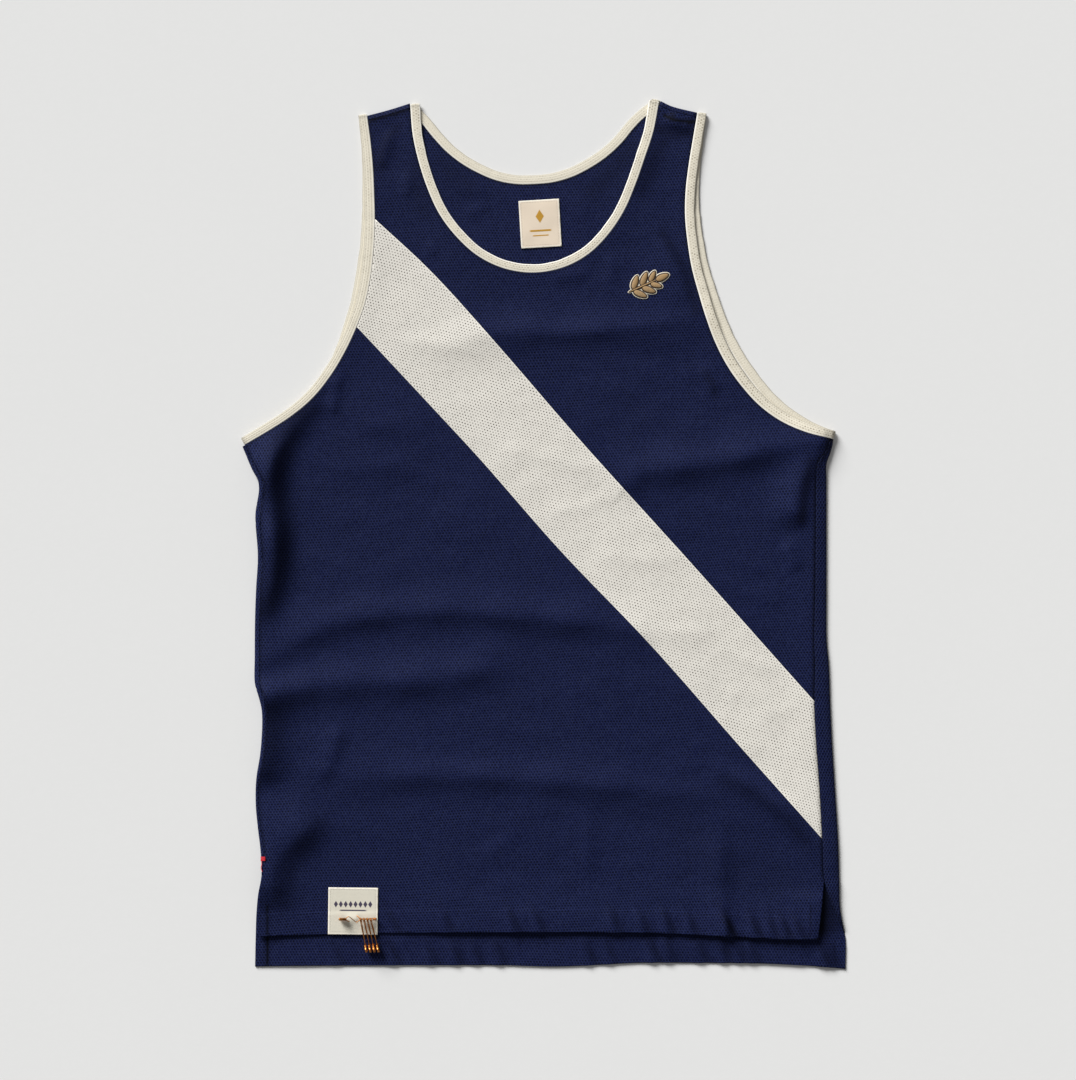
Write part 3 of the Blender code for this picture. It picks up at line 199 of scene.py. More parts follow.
# Side folds, a row for each height: y, x of the outermost cloth, wrap round it, slant.
LEFT_SIDE = [
    (73.0, -246.0, 3.0, -0.62), (67.0, -243.5, 3.2, -0.50), (52.0, -237.0, 4.6, -0.15),
    (44.0, -232.5, 5.0, 0.0), (36.0, -231.5, 5.0, 0.0), (15.5, -234.5, 5.0, 0.0),
    (-18.0, -232.5, 4.8, 0.0), (-45.0, -234.0, 4.4, 0.0), (-70.5, -235.0, 4.2, 0.0),
    (-100.0, -235.2, 4.4, 0.0), (-122.0, -235.0, 4.7, 0.0), (-132.0, -232.0, 4.9, 0.0),
    (-142.0, -229.6, 4.6, 0.0), (-153.0, -229.0, 3.4, 0.0), (-178.5, -230.5, 2.8, 0.0),
    (-201.0, -234.0, 2.8, 0.0), (-220.0, -234.4, 2.8, 0.0), (-240.0, -232.6, 3.0, 0.0),
    (-254.0, -230.8, 3.3, 0.0), (-264.0, -229.9, 3.3, 0.0), (-273.0, -229.6, 1.4, 0.0),
    (-282.0, -230.2, 0.0, 0.0), (-294.0, -232.5, 0.0, 0.0), (-311.0, -234.0, 0.0, 0.0),
    (-328.0, -234.5, 0.0, 0.0), (-354.0, -235.0, 0.0, 0.0)]
LEFT_SLIT_TOP = -266.0
RIGHT_SIDE = [
    (79.5, 237.5, 3.2, -0.38), (67.0, 234.5, 4.2, -0.20), (57.0, 231.0, 7.6, 0.0),
    (44.0, 231.0, 8.6, 0.0), (-5.0, 231.0, 9.0, 0.0), (-50.0, 231.0, 9.5, 0.0),
    (-86.5, 231.2, 10.5, 0.0), (-107.0, 233.0, 11.6, 0.0), (-135.5, 234.0, 13.0, 0.0),
    (-168.5, 235.5, 13.0, 0.0), (-209.0, 238.0, 12.6, 0.0), (-250.0, 240.5, 13.0, 0.0),
    (-282.0, 241.5, 12.5, 0.0), (-303.0, 242.0, 6.6, 0.0), (-314.5, 243.6, 3.2, 0.0),
    (-321.0, 245.0, 1.2, 0.0), (-329.0, 246.5, 0.0, 0.0), (-356.0, 246.5, 0.0, 0.0)]
RIGHT_SLIT_TOP = -282.0
LEFT_SLIT_EDGE = [(-226.6, LEFT_SLIT_TOP), (-229.0, -280), (-231.0, -294), (-232.5, -311),
                  (-233.0, -328)]
RIGHT_SLIT_EDGE = [(229, RIGHT_SLIT_TOP), (227.5, -297), (223.5, -330.5)]

# Main folds of the front: height, flank widths left and right of the crest, the shares of
# the height that its ends keep, and the crest.
FOLDS = [
    # roll under the left armhole
    (7.6, 10.5, 18, 0.2, 0.1, [(-188, 105), (-199, 93), (-210, 79), (-219, 64), (-223, 46),
                               (-222.5, 27), (-220, 7), (-219, -15), (-221, -35),
                               (-224.5, -54), (-230, -77)]),
    # the two creases across the belly
    (3.2, 17, 12, 0.6, 0.2, [(-229.5, -104), (-214, -95), (-197.5, -84.5), (-176, -75),
                             (-159.5, -70.5), (-121, -65), (-73, -62.5), (-35.5, -65),
                             (13.5, -70), (54.5, -75), (120, -86)]),
    (3.3, 16, 15, 0.8, 0.0, [(-232.5, -131), (-207.5, -127.5), (-174, -122), (-121, -120.5),
                             (-84, -117), (-43.5, -109.5), (-11, -103)]),
    (1.7, 11, 17, 1.0, 0.0, [(-233, -130), (-210, -127), (-178, -121)]),
    # chest, right strap, right underarm and its corner
    (2.9, 14, 15, 0.2, 0.4, [(-117, 151), (-76, 156), (-35.5, 163), (13.5, 165.5),
                             (62.5, 166.5), (96, 168), (124, 174)]),
    (1.7, 7, 14, 0.3, 0.2, [(92, 246), (101, 229), (108.5, 213), (113.5, 197), (118, 180)]),
    (1.2, 12, 9, 0.3, 0.2, [(82, 322), (74, 298), (66, 272)]),
    (3.9, 18, 13, 0.6, 0.6, [(72, 43), (78, 49.5), (92, 53.5), (131, 57), (162, 63),
                             (190, 69.5), (210, 75), (229, 79)]),
    (4.0, 9, 17, 0.6, 0.1, [(222, 64), (212, 48), (206.5, 32), (205.5, 15), (208, 0)]),
    # hip crease
    (2.3, 15, 12, 0.2, 0.2, [(-190.5, -195.5), (-163.5, -196), (-82.5, -197),
                             (-34.5, -198.5), (13.5, -202), (66, -206.5), (104.5, -211.5),
                             (140, -217)]),
    # two upright creases over the hem
    (1.8, 9, 15, 0.1, 0.8, [(142, -232), (144, -262), (144.5, -290), (145, -326)]),
    (0.9, 7, 14, 0.2, 0.2, [(37, -225), (36, -255), (37, -290)]),
    # below the sash, and the slit's corner
    (3.4, 10, 11, 0.2, 0.3, [(146, -193), (176, -208), (199, -227), (219, -254)]),
    (1.8, 9, 28, 0.0, 0.9, [(225, -288), (223, -306), (218, -330)]),
    # the left side below the belly, and its lower corner
    (4.4, 16, 8, 0.8, 0.0, [(-230, -140), (-228.5, -163), (-230, -188), (-233, -212)]),
    (4.8, 36, 15, 0.0, 0.0, [(-216, -318), (-220.5, -301), (-223, -281), (-220, -267),
                             (-210, -254), (-200, -244.5), (-189, -234.5), (-174, -221)]),
    (1.7, 15, 7, 0.2, 0.2, [(-186, -204), (-176, -190), (-169, -170), (-167, -152)]),
]
# Painted shade in the deep hollows, where little light falls: share, width, curve.
FRONT_HOLLOWS = [
    # beside the roll under the left armhole, the left side, the right corner
    (0.4, 8.5, [(-191, 102), (-204, 88), (-213, 66), (-216, 44), (-213.5, 20), (-211, -5),
                (-216, -36), (-227, -64)]),
    (0.2, 10, [(-184, -236), (-199, -258), (-207, -278), (-210, -300)]),
    (0.3, 9, [(-221, -144), (-221, -164), (-227, -190)]),
    (0.4, 4.5, [(217, 58), (213, 36), (211, 12)]),
    # below the sash
    (0.24, 7, [(150, -202), (178, -216), (199, -233), (215, -252)]),
    (0.12, 24, [(120, -250), (190, -285)]),
    # the straps
    (0.4, 6, [(95, 330), (107, 326), (120, 328)]),
    (0.3, 8, [(97, 318), (88, 300), (80, 282)]),
    (0.35, 4.5, [(98, 244), (107, 229), (114.5, 215.5), (120, 200), (124.5, 180)]),
    (0.3, 4, [(-119, 331), (-129, 319), (-133, 300)]),
    (0.2, 7, [(-106, 300), (-102, 280), (-96, 262)]),
    (0.3, 3.5, [(131, 132), (138, 122), (140, 113)]),
]
# Painted shade along grooves under the shoulder seams: share, width, curve.
SHOULDER_GROOVES = [
    (0.9, 1.3, [(-142.5, 336.8), (-126, 341.2), (-109, 346.6)]),
    (1.0, 1.4, [(99, 341), (105, 337.4), (112, 336), (124, 335.6)]),
    (0.7, 1.6, [(105.5, 342), (106.5, 338)]),
]
# Painted shade along grooves by the stitches at the slits: share, width, curve.
FRONT_SLIT_GROOVES = [(0.8, 1.3, [(-224.6, -303), (-224.8, -326)]),
                      (0.35, 1.2, [(217.7, -304), (217.3, -329)])]
BACK_SLIT_GROOVES = [(0.95, 1.4, [(-224.8, -331), (-225, -352)]),
                     (0.4, 1.2, [(237.8, -337), (238.4, -353)])]
# Painted shade on the back: in the right slit's corner under the front's edge, and inside the
# neck.
BACK_HOLLOWS = [
    (0.85, 8, [(229, -294), (228, -308), (227, -322)]),
    (0.5, 7, [(235, -296), (236, -308), (237, -320)]),
    (0.25, 8, [(40, 280), (58, 296), (72, 314)]), (0.2, 9, [(-60, 285), (-80, 300)]),
]
# Painted shade along the groove of the right seam.
SIDE_GROOVE = (0.5, 1.7)                         # share and width, along the right seam
SIDE_GROOVE_READS = 12
# Small creases of the front: height, width, crest.
CREASES = [
    (0.9, 12, [(-188, 50), (-126.5, 54), (-84, 50)]),
    (0.7, 11, [(-158.5, 85), (-121, 88.5), (-83.5, 86)]),
    (1.5, 6, [(-167, 133), (-170, 115.5), (-171, 94.5)]),
    (1.2, 5, [(-122.5, 329.5), (-128.5, 312.5), (-131, 295)]),
    (0.8, 5, [(-109.5, 295), (-112, 271.5)]),
    (0.7, 5, [(-95.5, 239), (-87.5, 226)]),
    (0.7, 6, [(55.5, 232.5), (55.5, 200.5)]),
    (0.6, 6, [(4.5, 208), (24.5, 210), (41.5, 216)]),
    (1.1, 7, [(129, 140), (135, 128), (141, 112)]),
    (0.7, 6, [(-127.5, 160.5), (-84, 154), (-41, 144)]),
    (0.5, 5, [(-31, 159.5), (46.5, 164.5), (119, 177)]),
    (1.3, 7, [(195.5, -5), (203, -20), (207, -33.5)]),
    (0.5, 7, [(-53, -264.5), (-37, -255), (-20.5, -244)]),
    (0.7, 7, [(-45, 71.5), (-2.5, 62.5), (52, 48.5)]),
    (0.7, 7, [(0, 19.5), (33.5, 22), (61, 35)]),
    (0.7, 7, [(30, -19), (71, -20), (111.5, -24.5)]),
    (0.7, 7, [(87, -79.5), (128, -79.5), (152.5, -73.5)]),
    (0.7, 7, [(129.5, -92.5), (160.5, -101.5), (195, -112)]),
    (0.6, 6, [(147.5, -140.5), (161.5, -124.5)]),
    (0.7, 7, [(170.5, -149.5), (208, -141.5)]),
    (1.8, 4, [(97, 340), (106, 334), (122, 331)]),
    (1.4, 4, [(105, 345), (109, 338), (113, 333)]),
]
# Creases of the back panel, most of them under the front.
BACK_CREASES = [
    (0.7, 4, [(-77, 282), (-44, 279)]), (0.7, 4, [(-64, 258.5), (-44, 269)]),
    (0.7, 5, [(30, 275.5), (32, 254.5)]), (0.8, 5, [(-93, 297.5), (-89, 308), (-86, 318)]),
    (1.4, 8, [(-150, 120), (-90, 104), (-30, 110), (20, 96)]),
    (1.2, 7, [(60, 150), (95, 122), (120, 80)]), (1.5, 9, [(-190, 10), (-120, 2), (-40, 14)]),
    (1.1, 7, [(60, -10), (110, -24), (170, -20)]), (1.4, 8, [(-160, -160), (-60, -150)]),
    (1.3, 8, [(0, -130), (70, -142), (150, -136)]), (1.2, 7, [(-120, -240), (-20, -252)]),
    (1.4, 8, [(40, -262), (120, -274), (190, -262)]),
]
# Puckers between a hem's stitches and its edge: x of the hollow beside each, and height.
FRONT_PUCKERS = [(-121, 0.5), (-77, 0.4), (-23, 0.5), (-2, 0.4), (60, 0.5), (83, 0.5),
                 (103, 0.6), (122, 0.5), (152, 1.2), (174, 0.6), (188, 0.5), (199, 0.6),
                 (210, 0.5)]
BACK_PUCKERS = [(-167, 0.4), (-121, 0.5), (-90, 0.4), (-69, 0.5), (-53, 0.4), (-34, 0.5),
                (39, 0.5), (56, 0.4), (91, 0.6), (104, 0.5), (130, 0.5), (149, 0.6),
                (162, 0.5), (172, 0.5), (230, 0.7), (237, 0.5)]

# Labels: centre, width, height and turn in degrees.
NECK_LABEL = (-2.5, 252.8, 33.0, 38.8, 3.4)
HEM_LABEL = (-155.0, -307.6, 40.4, 38.2, -0.6)
LABEL_FLAT = 62.0       # how far round the hem label the front lies without ripples
LABEL_THICK = 0.9       # share of the knit's thickness
LABEL_GAP = 0.15

SPRIG_CENTRE = (86.0, 204.0)
SPRIG_TURN = 24.0
SPRIG_STEM = (27.0, 1.7)                        # length, width
# Leaves on both sides of the stem: place along it, length, width and turn in degrees.
SPRIG_LEAVES = [(2.5, 11.5, 5.0, 48.0), (10.0, 11.5, 5.0, 44.0), (17.5, 9.5, 4.4, 40.0)]
SPRIG_TIP_LEAF = (11.0, 5.4)
LEAF_HEEL = 1.3         # how far a leaf starts along the stem
TIP_OVERLAP = 3.0       # how far the tip's leaf covers the stem, and where the stem ends
STEM_END = 2.0
LEAF_TAPER = 0.18
SPRIG_BORDER = 1.3

BAR_TACK = (-227.7, -264.3, 4.6, 3.6)           # centre, width, height
BAR_TACK_TURNS = 7
BAR_TACK_RAILS = (-1.0, 0.2, 1.2)               # threads under its zigzag
LOOSE_THREAD = [(-1.2, -1.4), (-1.0, -4.5), (-1.5, -7.0), (-0.6, -10.4)]  # from its centre
LOOSE_STEP = 0.5
LOOSE_LIFT = 0.35
THREAD_RADIUS = 0.3

WIRE_RADIUS = 0.35
COIL_RADIUS = 1.4
COIL_TURNS = 1.5
COIL_PITCH = 0.8
HALF_COIL = COIL_TURNS * COIL_PITCH / 2
COIL_POINTS_PER_TURN = 24
CAP = (6.2, 5.6, 2.0)                           # length, width, thickness
CAP_TAPER = 0.86        # width of its mouth as a share of its own
CAP_ROUNDING = 0.7
CAP_WALL = 0.3
CAP_HOLLOW = 0.8        # depth of its hollow as a share of its length
CAP_ARM_SPREAD = 1.85
CAP_END = 1.4                                   # from a wire's end to the end of its cap
ARM_STRAIGHT = 3.0                              # straight end of an arm, in the cap
WIRE_STEP = 0.8
HOLDER_AT = (-137.05, -313.6, 6.6)              # middle of the holder's coil
HOLDER_LENGTH = 29.3
HOLDER_TILT = 1.9
HOLDER_BEND = (2.2, 1.9)                         # how far its arms cross, and its lower dips
ARM_BEND = [(11.5, 0.1, 0.0), (14.6, 1.0, 0.85), (18.0, 0.0, 1.0), (21.4, -1.0, 0.85),
            (24.2, 0.0, 0.0)]                    # along, and the shares aside and down
HANGING_LENGTH = 27.0
HANGING_PITCH = 2.75
HANGING_FIRST = 3.2
HANGING_DROOP = 5.5
HANGING_FAN = (13.6, 12.4, 11.2, 10.0)
TUNNEL = (-155.0, 2.0, 2.4, 3.2, 0.9)            # the label's rise over the holder's arm


def linear(red, green, blue):
    """Linear colour from the usual 0 to 255 numbers."""
    return tuple(((c / 255 + 0.055) / 1.055) ** 2.4 if c > 10 else c / 255 / 12.92
                 for c in (red, green, blue))


# ------------------------------------------------------------------ settings
def colour_setting(name, description, red, green, blue):
    return FloatVectorProperty(name=name, description=description, size=3, min=0, max=1,
                               default=linear(red, green, blue), subtype="COLOR")


def length_setting(name, description, default, low, high):
    return FloatProperty(name=name, description=description, default=default * MM,
                         min=low * MM, max=high * MM, precision=5, subtype="DISTANCE",
                         unit="LENGTH")


def factor_setting(name, description, default, low, high):
    return FloatProperty(name=name, description=description, default=default, min=low,
                         max=high, subtype="FACTOR")


def angle_setting(name, description, degrees, **limits):
    return FloatProperty(name=name, description=description, default=math.radians(degrees),
                         subtype="ANGLE", unit="ROTATION", **limits)


class ClothSettings(bpy.types.PropertyGroup):
    """How the cloth is laid."""
    thickness: length_setting("Thickness", "Thickness of one layer of knit", 0.86, 0.4, 1.2)
    fold_height: factor_setting("Folds", "Height of the folds and creases", 1.35, 0.0, 1.8)
    ripple_height: factor_setting("Ripples", "Height of the faint ripples", 1.0, 0.0, 2.0)


class KnitSettings(bpy.types.PropertyGroup):
    """The open mesh knit and its colours."""
    hole_pitch: length_setting("Hole pitch", "Spacing of holes in a row", 2.4, 1.0, 5.0)
    row_pitch: length_setting("Row pitch", "Spacing of the rows of holes", 2.18, 1.0, 5.0)
    hole_size: length_setting("Hole size", "Width of a hole", 1.4, 0.2, 2.0)
    navy: colour_setting("Navy", "Colour of the body", 7, 14, 55)
    cream: colour_setting("Cream", "Colour of the sash", 223, 219, 210)
    binding: colour_setting("Binding", "Colour of the bindings", 229, 222, 204)


class TrimSettings(bpy.types.PropertyGroup):
    """Labels, embroidery and the bar tack."""
    label: colour_setting("Neck label", "Ground of the neck label", 233, 217, 196)
    hem_label: colour_setting("Hem label", "Ground of the hem label", 219, 214, 198)
    mark: colour_setting("Mark", "Woven marks of the labels", 192, 145, 52)
    gold: colour_setting("Gold", "Embroidery thread", 184, 150, 104)
    red: colour_setting("Red", "Bar tack thread", 196, 34, 48)


class PinSettings(bpy.types.PropertyGroup):
    """The brass safety pins."""
    brass: colour_setting("Brass", "Colour of the pins", 200, 132, 68)
    roughness: factor_setting("Roughness", "Roughness of the brass", 0.3, 0.05, 1.0)


class StageSettings(bpy.types.PropertyGroup):
    """Floor, light and camera."""
    floor: colour_setting("Floor", "Colour of the floor", 230, 230, 229)
    key_strength: FloatProperty(name="Key light", description="Strength of the soft key light",
                                default=5.07, min=0.0, subtype="UNSIGNED")
    key_elevation: angle_setting("Key elevation", "Rise of the key light", 28, min=0.1,
                                 max=math.pi / 2)
    key_bearing: angle_setting("Key bearing", "Turn of the key light from +X", 124)
    key_softness: angle_setting("Key softness", "Angle the key light spans", 30, min=0.0,
                                max=math.pi / 2)
    fill: factor_setting("Fill", "Strength of the light from all round", 0.215, 0.0, 3.0)
    camera_height: FloatProperty(name="Camera height", description="Height over the floor",
                                 default=2.448, min=0.5, subtype="DISTANCE", unit="LENGTH")


def cloth_thickness():
    """Thickness of one layer of knit, in millimetres."""
    return bpy.context.scene.singlet_cloth.thickness / MM


# ------------------------------------------------------------------ plan curves
def unit(vectors):
    """The same directions with length one."""
    return vectors / np.linalg.norm(vectors, axis=-1, keepdims=True)


def spun(points, degrees):
    """Plan points turned to the left about the origin."""
    turn = math.radians(degrees)
    return points @ np.array(((math.cos(turn), math.sin(turn)),
                              (-math.sin(turn), math.cos(turn))))


def plan_lengths(points):
    """Running length along a curve, measured in plan."""
    steps = np.hypot(*(points[1:, :2] - points[:-1, :2]).T)
    return np.concatenate(([0.0], np.cumsum(steps)))


def resample(points, step):
    """The same curve with points at an even spacing of about step."""
    lengths = plan_lengths(points)
    count = max(2, int(round(lengths[-1] / step)) + 1)
    places = np.linspace(0.0, lengths[-1], count)
    return np.stack([np.interp(places, lengths, column) for column in points.T], axis=1)


def smooth_curve(rows, step=EDGE_STEP):
    """A centripetal spline through the rows, read at an even spacing of about step."""
    rows = np.asarray(rows, float)
    control = np.vstack((2 * rows[0] - rows[1], rows, 2 * rows[-1] - rows[-2]))
    fine = []
    for p0, p1, p2, p3 in zip(control, control[1:], control[2:], control[3:]):
        knots = [0.0]
        for a, b in ((p0, p1), (p1, p2), (p2, p3)):
            knots.append(knots[-1] + math.sqrt(math.dist(a[:2], b[:2])))
        for t in np.linspace(knots[1], knots[2], SPLINE_READS + 1)[:-1]:
            def blend(a, b, start, end):
                return a + (b - a) * (t - start) / (end - start)
            a1 = blend(p0, p1, knots[0], knots[1])
            a2 = blend(p1, p2, knots[1], knots[2])
            a3 = blend(p2, p3, knots[2], knots[3])
            b1 = blend(a1, a2, knots[0], knots[2])
            b2 = blend(a2, a3, knots[1], knots[3])
            fine.append(blend(b1, b2, knots[1], knots[2]))
    fine.append(rows[-1])
    return resample(np.array(fine), step)


def left_normals(points):
    """Unit plan normals on the left of a curve's direction."""
    ahead = unit(np.gradient(points[:, :2], axis=0))
    return np.stack((-ahead[:, 1], ahead[:, 0]), axis=1)


def moved_left(points, distance):
    """A curve moved to its left, by one distance or by a distance for each point."""
    distance = np.broadcast_to(distance, len(points))
    return points[:, :2] + left_normals(points) * distance[:, None]


def along(values, count):
    """Values at even spacing, read smoothly at count places."""
    places = np.linspace(0, WIDTH_TABLE, len(values))
    table = np.column_stack((places, np.zeros(len(values)), values))
    return resample(smooth_curve(table, 1.0), WIDTH_TABLE / (count - 1))[:, 2]


def part_between(points, high=math.inf, low=-math.inf):
    """The stretch of a falling curve between two heights y, or to its own end."""
    y = points[:, 1]
    high, low = min(high, y[0]), max(low, y[-1])
    ends = [np.array([np.interp(-v, -y, column) for column in points.T]) for v in (high, low)]
    between = points[(y < high - SHORTEST_STEP) & (y > low + SHORTEST_STEP)]
    return np.vstack((ends[0], between, ends[1]))


def cross(a, b):
    return a[..., 0] * b[..., 1] - a[..., 1] * b[..., 0]


def join_edges(edges):
    """A closed outline from edges in order, their ends carried on to where they cross.

    Returns the outline and, for each edge, the places of its points in it."""
    corners = []
    for before, after in zip(edges, edges[1:] + edges[:1]):
        p, along_p = before[-1], before[-1] - before[-2]
        q, along_q = after[0], after[1] - after[0]
        corners.append(p + along_p * cross(q - p, along_q) / cross(along_p, along_q))
    outline, places = [], []
    for edge, corner in zip(edges, corners):
        start = len(outline) - 1
        outline.extend(edge[1:-1])
        outline.append(corner)
        places.append(list(range(start, len(outline))))
    places[0][0] = len(outline) - 1
    return np.array(outline), places


def by_slices(points, others):
    """Slices of a long list of points, so that a table of all the pairs stays small."""
    return np.array_split(points, max(1, len(points) * len(others) // PAIRS_AT_ONCE))


def to_polyline(points, polyline):
    """For each point: distance to a polyline, signed side (left +) and share along it."""
    start, ahead = polyline[:-1, :2], polyline[1:, :2] - polyline[:-1, :2]
    length = np.linalg.norm(ahead, axis=1)
    run = np.concatenate(([0.0], np.cumsum(length)))
    found = []
    for some in by_slices(points, start):
        offset = some[:, None, :] - start[None]
        share = np.clip((offset * ahead[None]).sum(2) / length**2, 0.0, 1.0)
        distance = np.linalg.norm(offset - share[..., None] * ahead[None], axis=2)
        nearest = distance.argmin(axis=1)
        rows = np.arange(len(some))
        side = np.sign(cross(ahead[nearest], offset[rows, nearest]))
        place = (run[nearest] + share[rows, nearest] * length[nearest]) / run[-1]
        found.append((distance[rows, nearest], side, place))
    return tuple(np.concatenate(column) for column in zip(*found))


def ease(value):
    value = np.clip(value, 0.0, 1.0)
    return value * value * (3 - 2 * value)


# ------------------------------------------------------------------ the garment's own curves
def side_rows(table):
    """A side's rows, evenly spaced, as columns y, fold, wrap, slant."""
    rows = smooth_curve(np.array(table, float)[:, [1, 0, 2, 3]])[:, [1, 0, 2, 3]]
    rows[:, 2] = np.maximum(rows[:, 2], 0.0)
    return rows[np.argsort(-rows[:, 0])]


def outward(rows, sign):
    """Plan direction out of a side fold, for each row of its table."""
    return unit(np.stack((np.full(len(rows), float(sign)), rows[:, 3]), axis=1))


def seam_of(rows, sign):
    """Plan curve of a side's seam, wrap back from the fold."""
    return rows[:, [1, 0]] - outward(rows, sign) * rows[:, 2:3]


def peeking(front_edge, peek):
    """The back's armhole edge: the front's, moved to its left by the peek."""
    return moved_left(front_edge, along(peek, len(front_edge)))


LEFT_ARMHOLE_EDGE = smooth_curve(LEFT_ARMHOLE)
RIGHT_ARMHOLE_EDGE = smooth_curve(RIGHT_ARMHOLE)
LEFT_BACK_ARMHOLE_EDGE = peeking(LEFT_ARMHOLE_EDGE, -np.array(LEFT_PEEK))
RIGHT_BACK_ARMHOLE_EDGE = peeking(RIGHT_ARMHOLE_EDGE, RIGHT_PEEK)
FRONT_NECK_EDGE = smooth_curve(FRONT_NECK)
BACK_NECK_EDGE = smooth_curve(BACK_NECK)
LEFT_FOLD = side_rows(LEFT_SIDE)
RIGHT_FOLD = side_rows(RIGHT_SIDE)
LEFT_SEAM = part_between(seam_of(LEFT_FOLD, -1), low=LEFT_SLIT_TOP)
RIGHT_SEAM = part_between(seam_of(RIGHT_FOLD, 1), low=RIGHT_SLIT_TOP)
STRAP_UP = {"left": np.array((-0.10, 0.995)), "right": np.array((0.18, 0.984))}
SHOULDERS = {"left": smooth_curve(LEFT_SHOULDER), "right": smooth_curve(RIGHT_SHOULDER)}
FRONT_HEM_EDGE = smooth_curve(FRONT_HEM)
BACK_HEM_EDGE = smooth_curve(BACK_HEM)
FRONT_TURN_UP = (FRONT_HEM_EDGE, FRONT_HEM_DEPTH)
BACK_TURN_UP = (BACK_HEM_EDGE, BACK_HEM_DEPTH)
SASH_TOP_SEAM = smooth_curve(SASH_TOP)
SASH_BOTTOM_SEAM = smooth_curve(SASH_BOTTOM)

LIFTED_EDGES = [
    *((resample(edge, CURVE_STEP), EDGE_LIFT, EDGE_LIFT_REACH) for edge in (
        LEFT_ARMHOLE_EDGE, RIGHT_ARMHOLE_EDGE, FRONT_NECK_EDGE, *SHOULDERS.values())),
    *((resample(seam, CURVE_STEP), SIDE_LIFT, SIDE_LIFT_REACH)
      for seam in (LEFT_SEAM, RIGHT_SEAM))]


# ------------------------------------------------------------------ heights
def fold_height(points, height, left, right, start, end, crest):
    """Height over the points of one fold, which swells and sinks a little along its crest."""
    line = smooth_curve(crest, CREST_STEP)
    reach = FOLD_REACH * max(left, right)
    near = ((points > line.min(axis=0) - reach) & (points < line.max(axis=0) + reach)).all(1)
    rise = np.zeros(len(points))
    if near.any():
        distance, side, place = to_polyline(points[near], line)
        share = distance / np.where(side > 0, left, right)
        ends = ((start + (1 - start) * ease(place / FOLD_END))
                * (end + (1 - end) * ease((1 - place) / FOLD_END)))
        waves = plan_lengths(line)[-1] / SWELL_LENGTH
        swell = 1 + SWELL * np.sin(2 * math.pi * waves * place + crest[0][0])
        rise[near] = height * ends * swell * (
            (1 - CREST_SHARE) * np.exp(-share ** 2)
            + CREST_SHARE * np.exp(-(CREST_SHARPNESS * share) ** 2))
    return rise * bpy.context.scene.singlet_cloth.fold_height


def folds_over(points, folds, creases):
    """The summed height of some folds and small creases."""
    total = np.zeros(len(points))
    for fold in folds:
        total += fold_height(points, *fold)
    for height, width, crest in creases:
        total += fold_height(points, height, width, width, CREASE_END, CREASE_END, crest)
    return total


def waves_over(points, seed, shortest, longest):
    """A smooth random field of about unit size, its features longer across the body."""
    random = np.random.default_rng(seed)
    lengths = np.exp(random.uniform(math.log(shortest), math.log(longest), WAVE_COUNT))
    turns = random.uniform(0, 2 * math.pi, WAVE_COUNT)
    phases = random.uniform(0, 2 * math.pi, WAVE_COUNT)
    ways = np.stack((WAVE_ACROSS * np.cos(turns),
                     WAVE_ALONG * np.sin(turns))) * 2 * math.pi / lengths
    return np.sin(points[:, :2] @ ways + phases).sum(axis=1) / math.sqrt(WAVE_COUNT / 2)


def ripples(points, seed):
    """Faint ripples: a soft swell with shorter waves on it."""
    waves = sum(share * waves_over(points, seed + k, shortest, longest)
                for share, k, shortest, longest in RIPPLES)
    return waves * bpy.context.scene.singlet_cloth.ripple_height


def below_stitches(points, hem, depth):
    """How far the points are below a hem's stitches, which run depth above its edge."""
    return np.interp(points[:, 0], hem[:, 0], hem[:, 1]) + depth - points[:, 1]


def puckers(points, table, hem, depth, slant=PUCKER_SLANT, shift=PUCKER_SHIFT):
    """Slanting ridges from a hem's stitches down to its edge, moved along by shift."""
    below = below_stitches(points, hem, depth)
    total = np.zeros(len(points))
    for x, height in table:
        aside = points[:, 0] - x - shift + slant * (depth / 2 - below)
        total += height * np.exp(-(aside / PUCKER_WIDTH) ** 2)
    return total * np.exp(-((below - PUCKER_MIDDLE * depth) / (PUCKER_REACH * depth)) ** 2)


def hem_lift(points, hem, depth):
    """How far the cloth rises towards its hem's edge."""
    below = below_stitches(points, hem, depth)
    return HEM_LIFT * ease((below + HEM_LIFT_REACH) / (depth + HEM_LIFT_REACH))


def hem_thickness(points, hem, depth):
    """Cloth thickness over the points, thicker below a hem's stitch line."""
    below = below_stitches(points, hem, depth)
    return cloth_thickness() + HEM_EXTRA * ease((below + HEM_STEP) / (2 * HEM_STEP))


def front_thickness(points):
    return hem_thickness(points, *FRONT_TURN_UP)


def back_thickness(points):
    return hem_thickness(points, *BACK_TURN_UP)


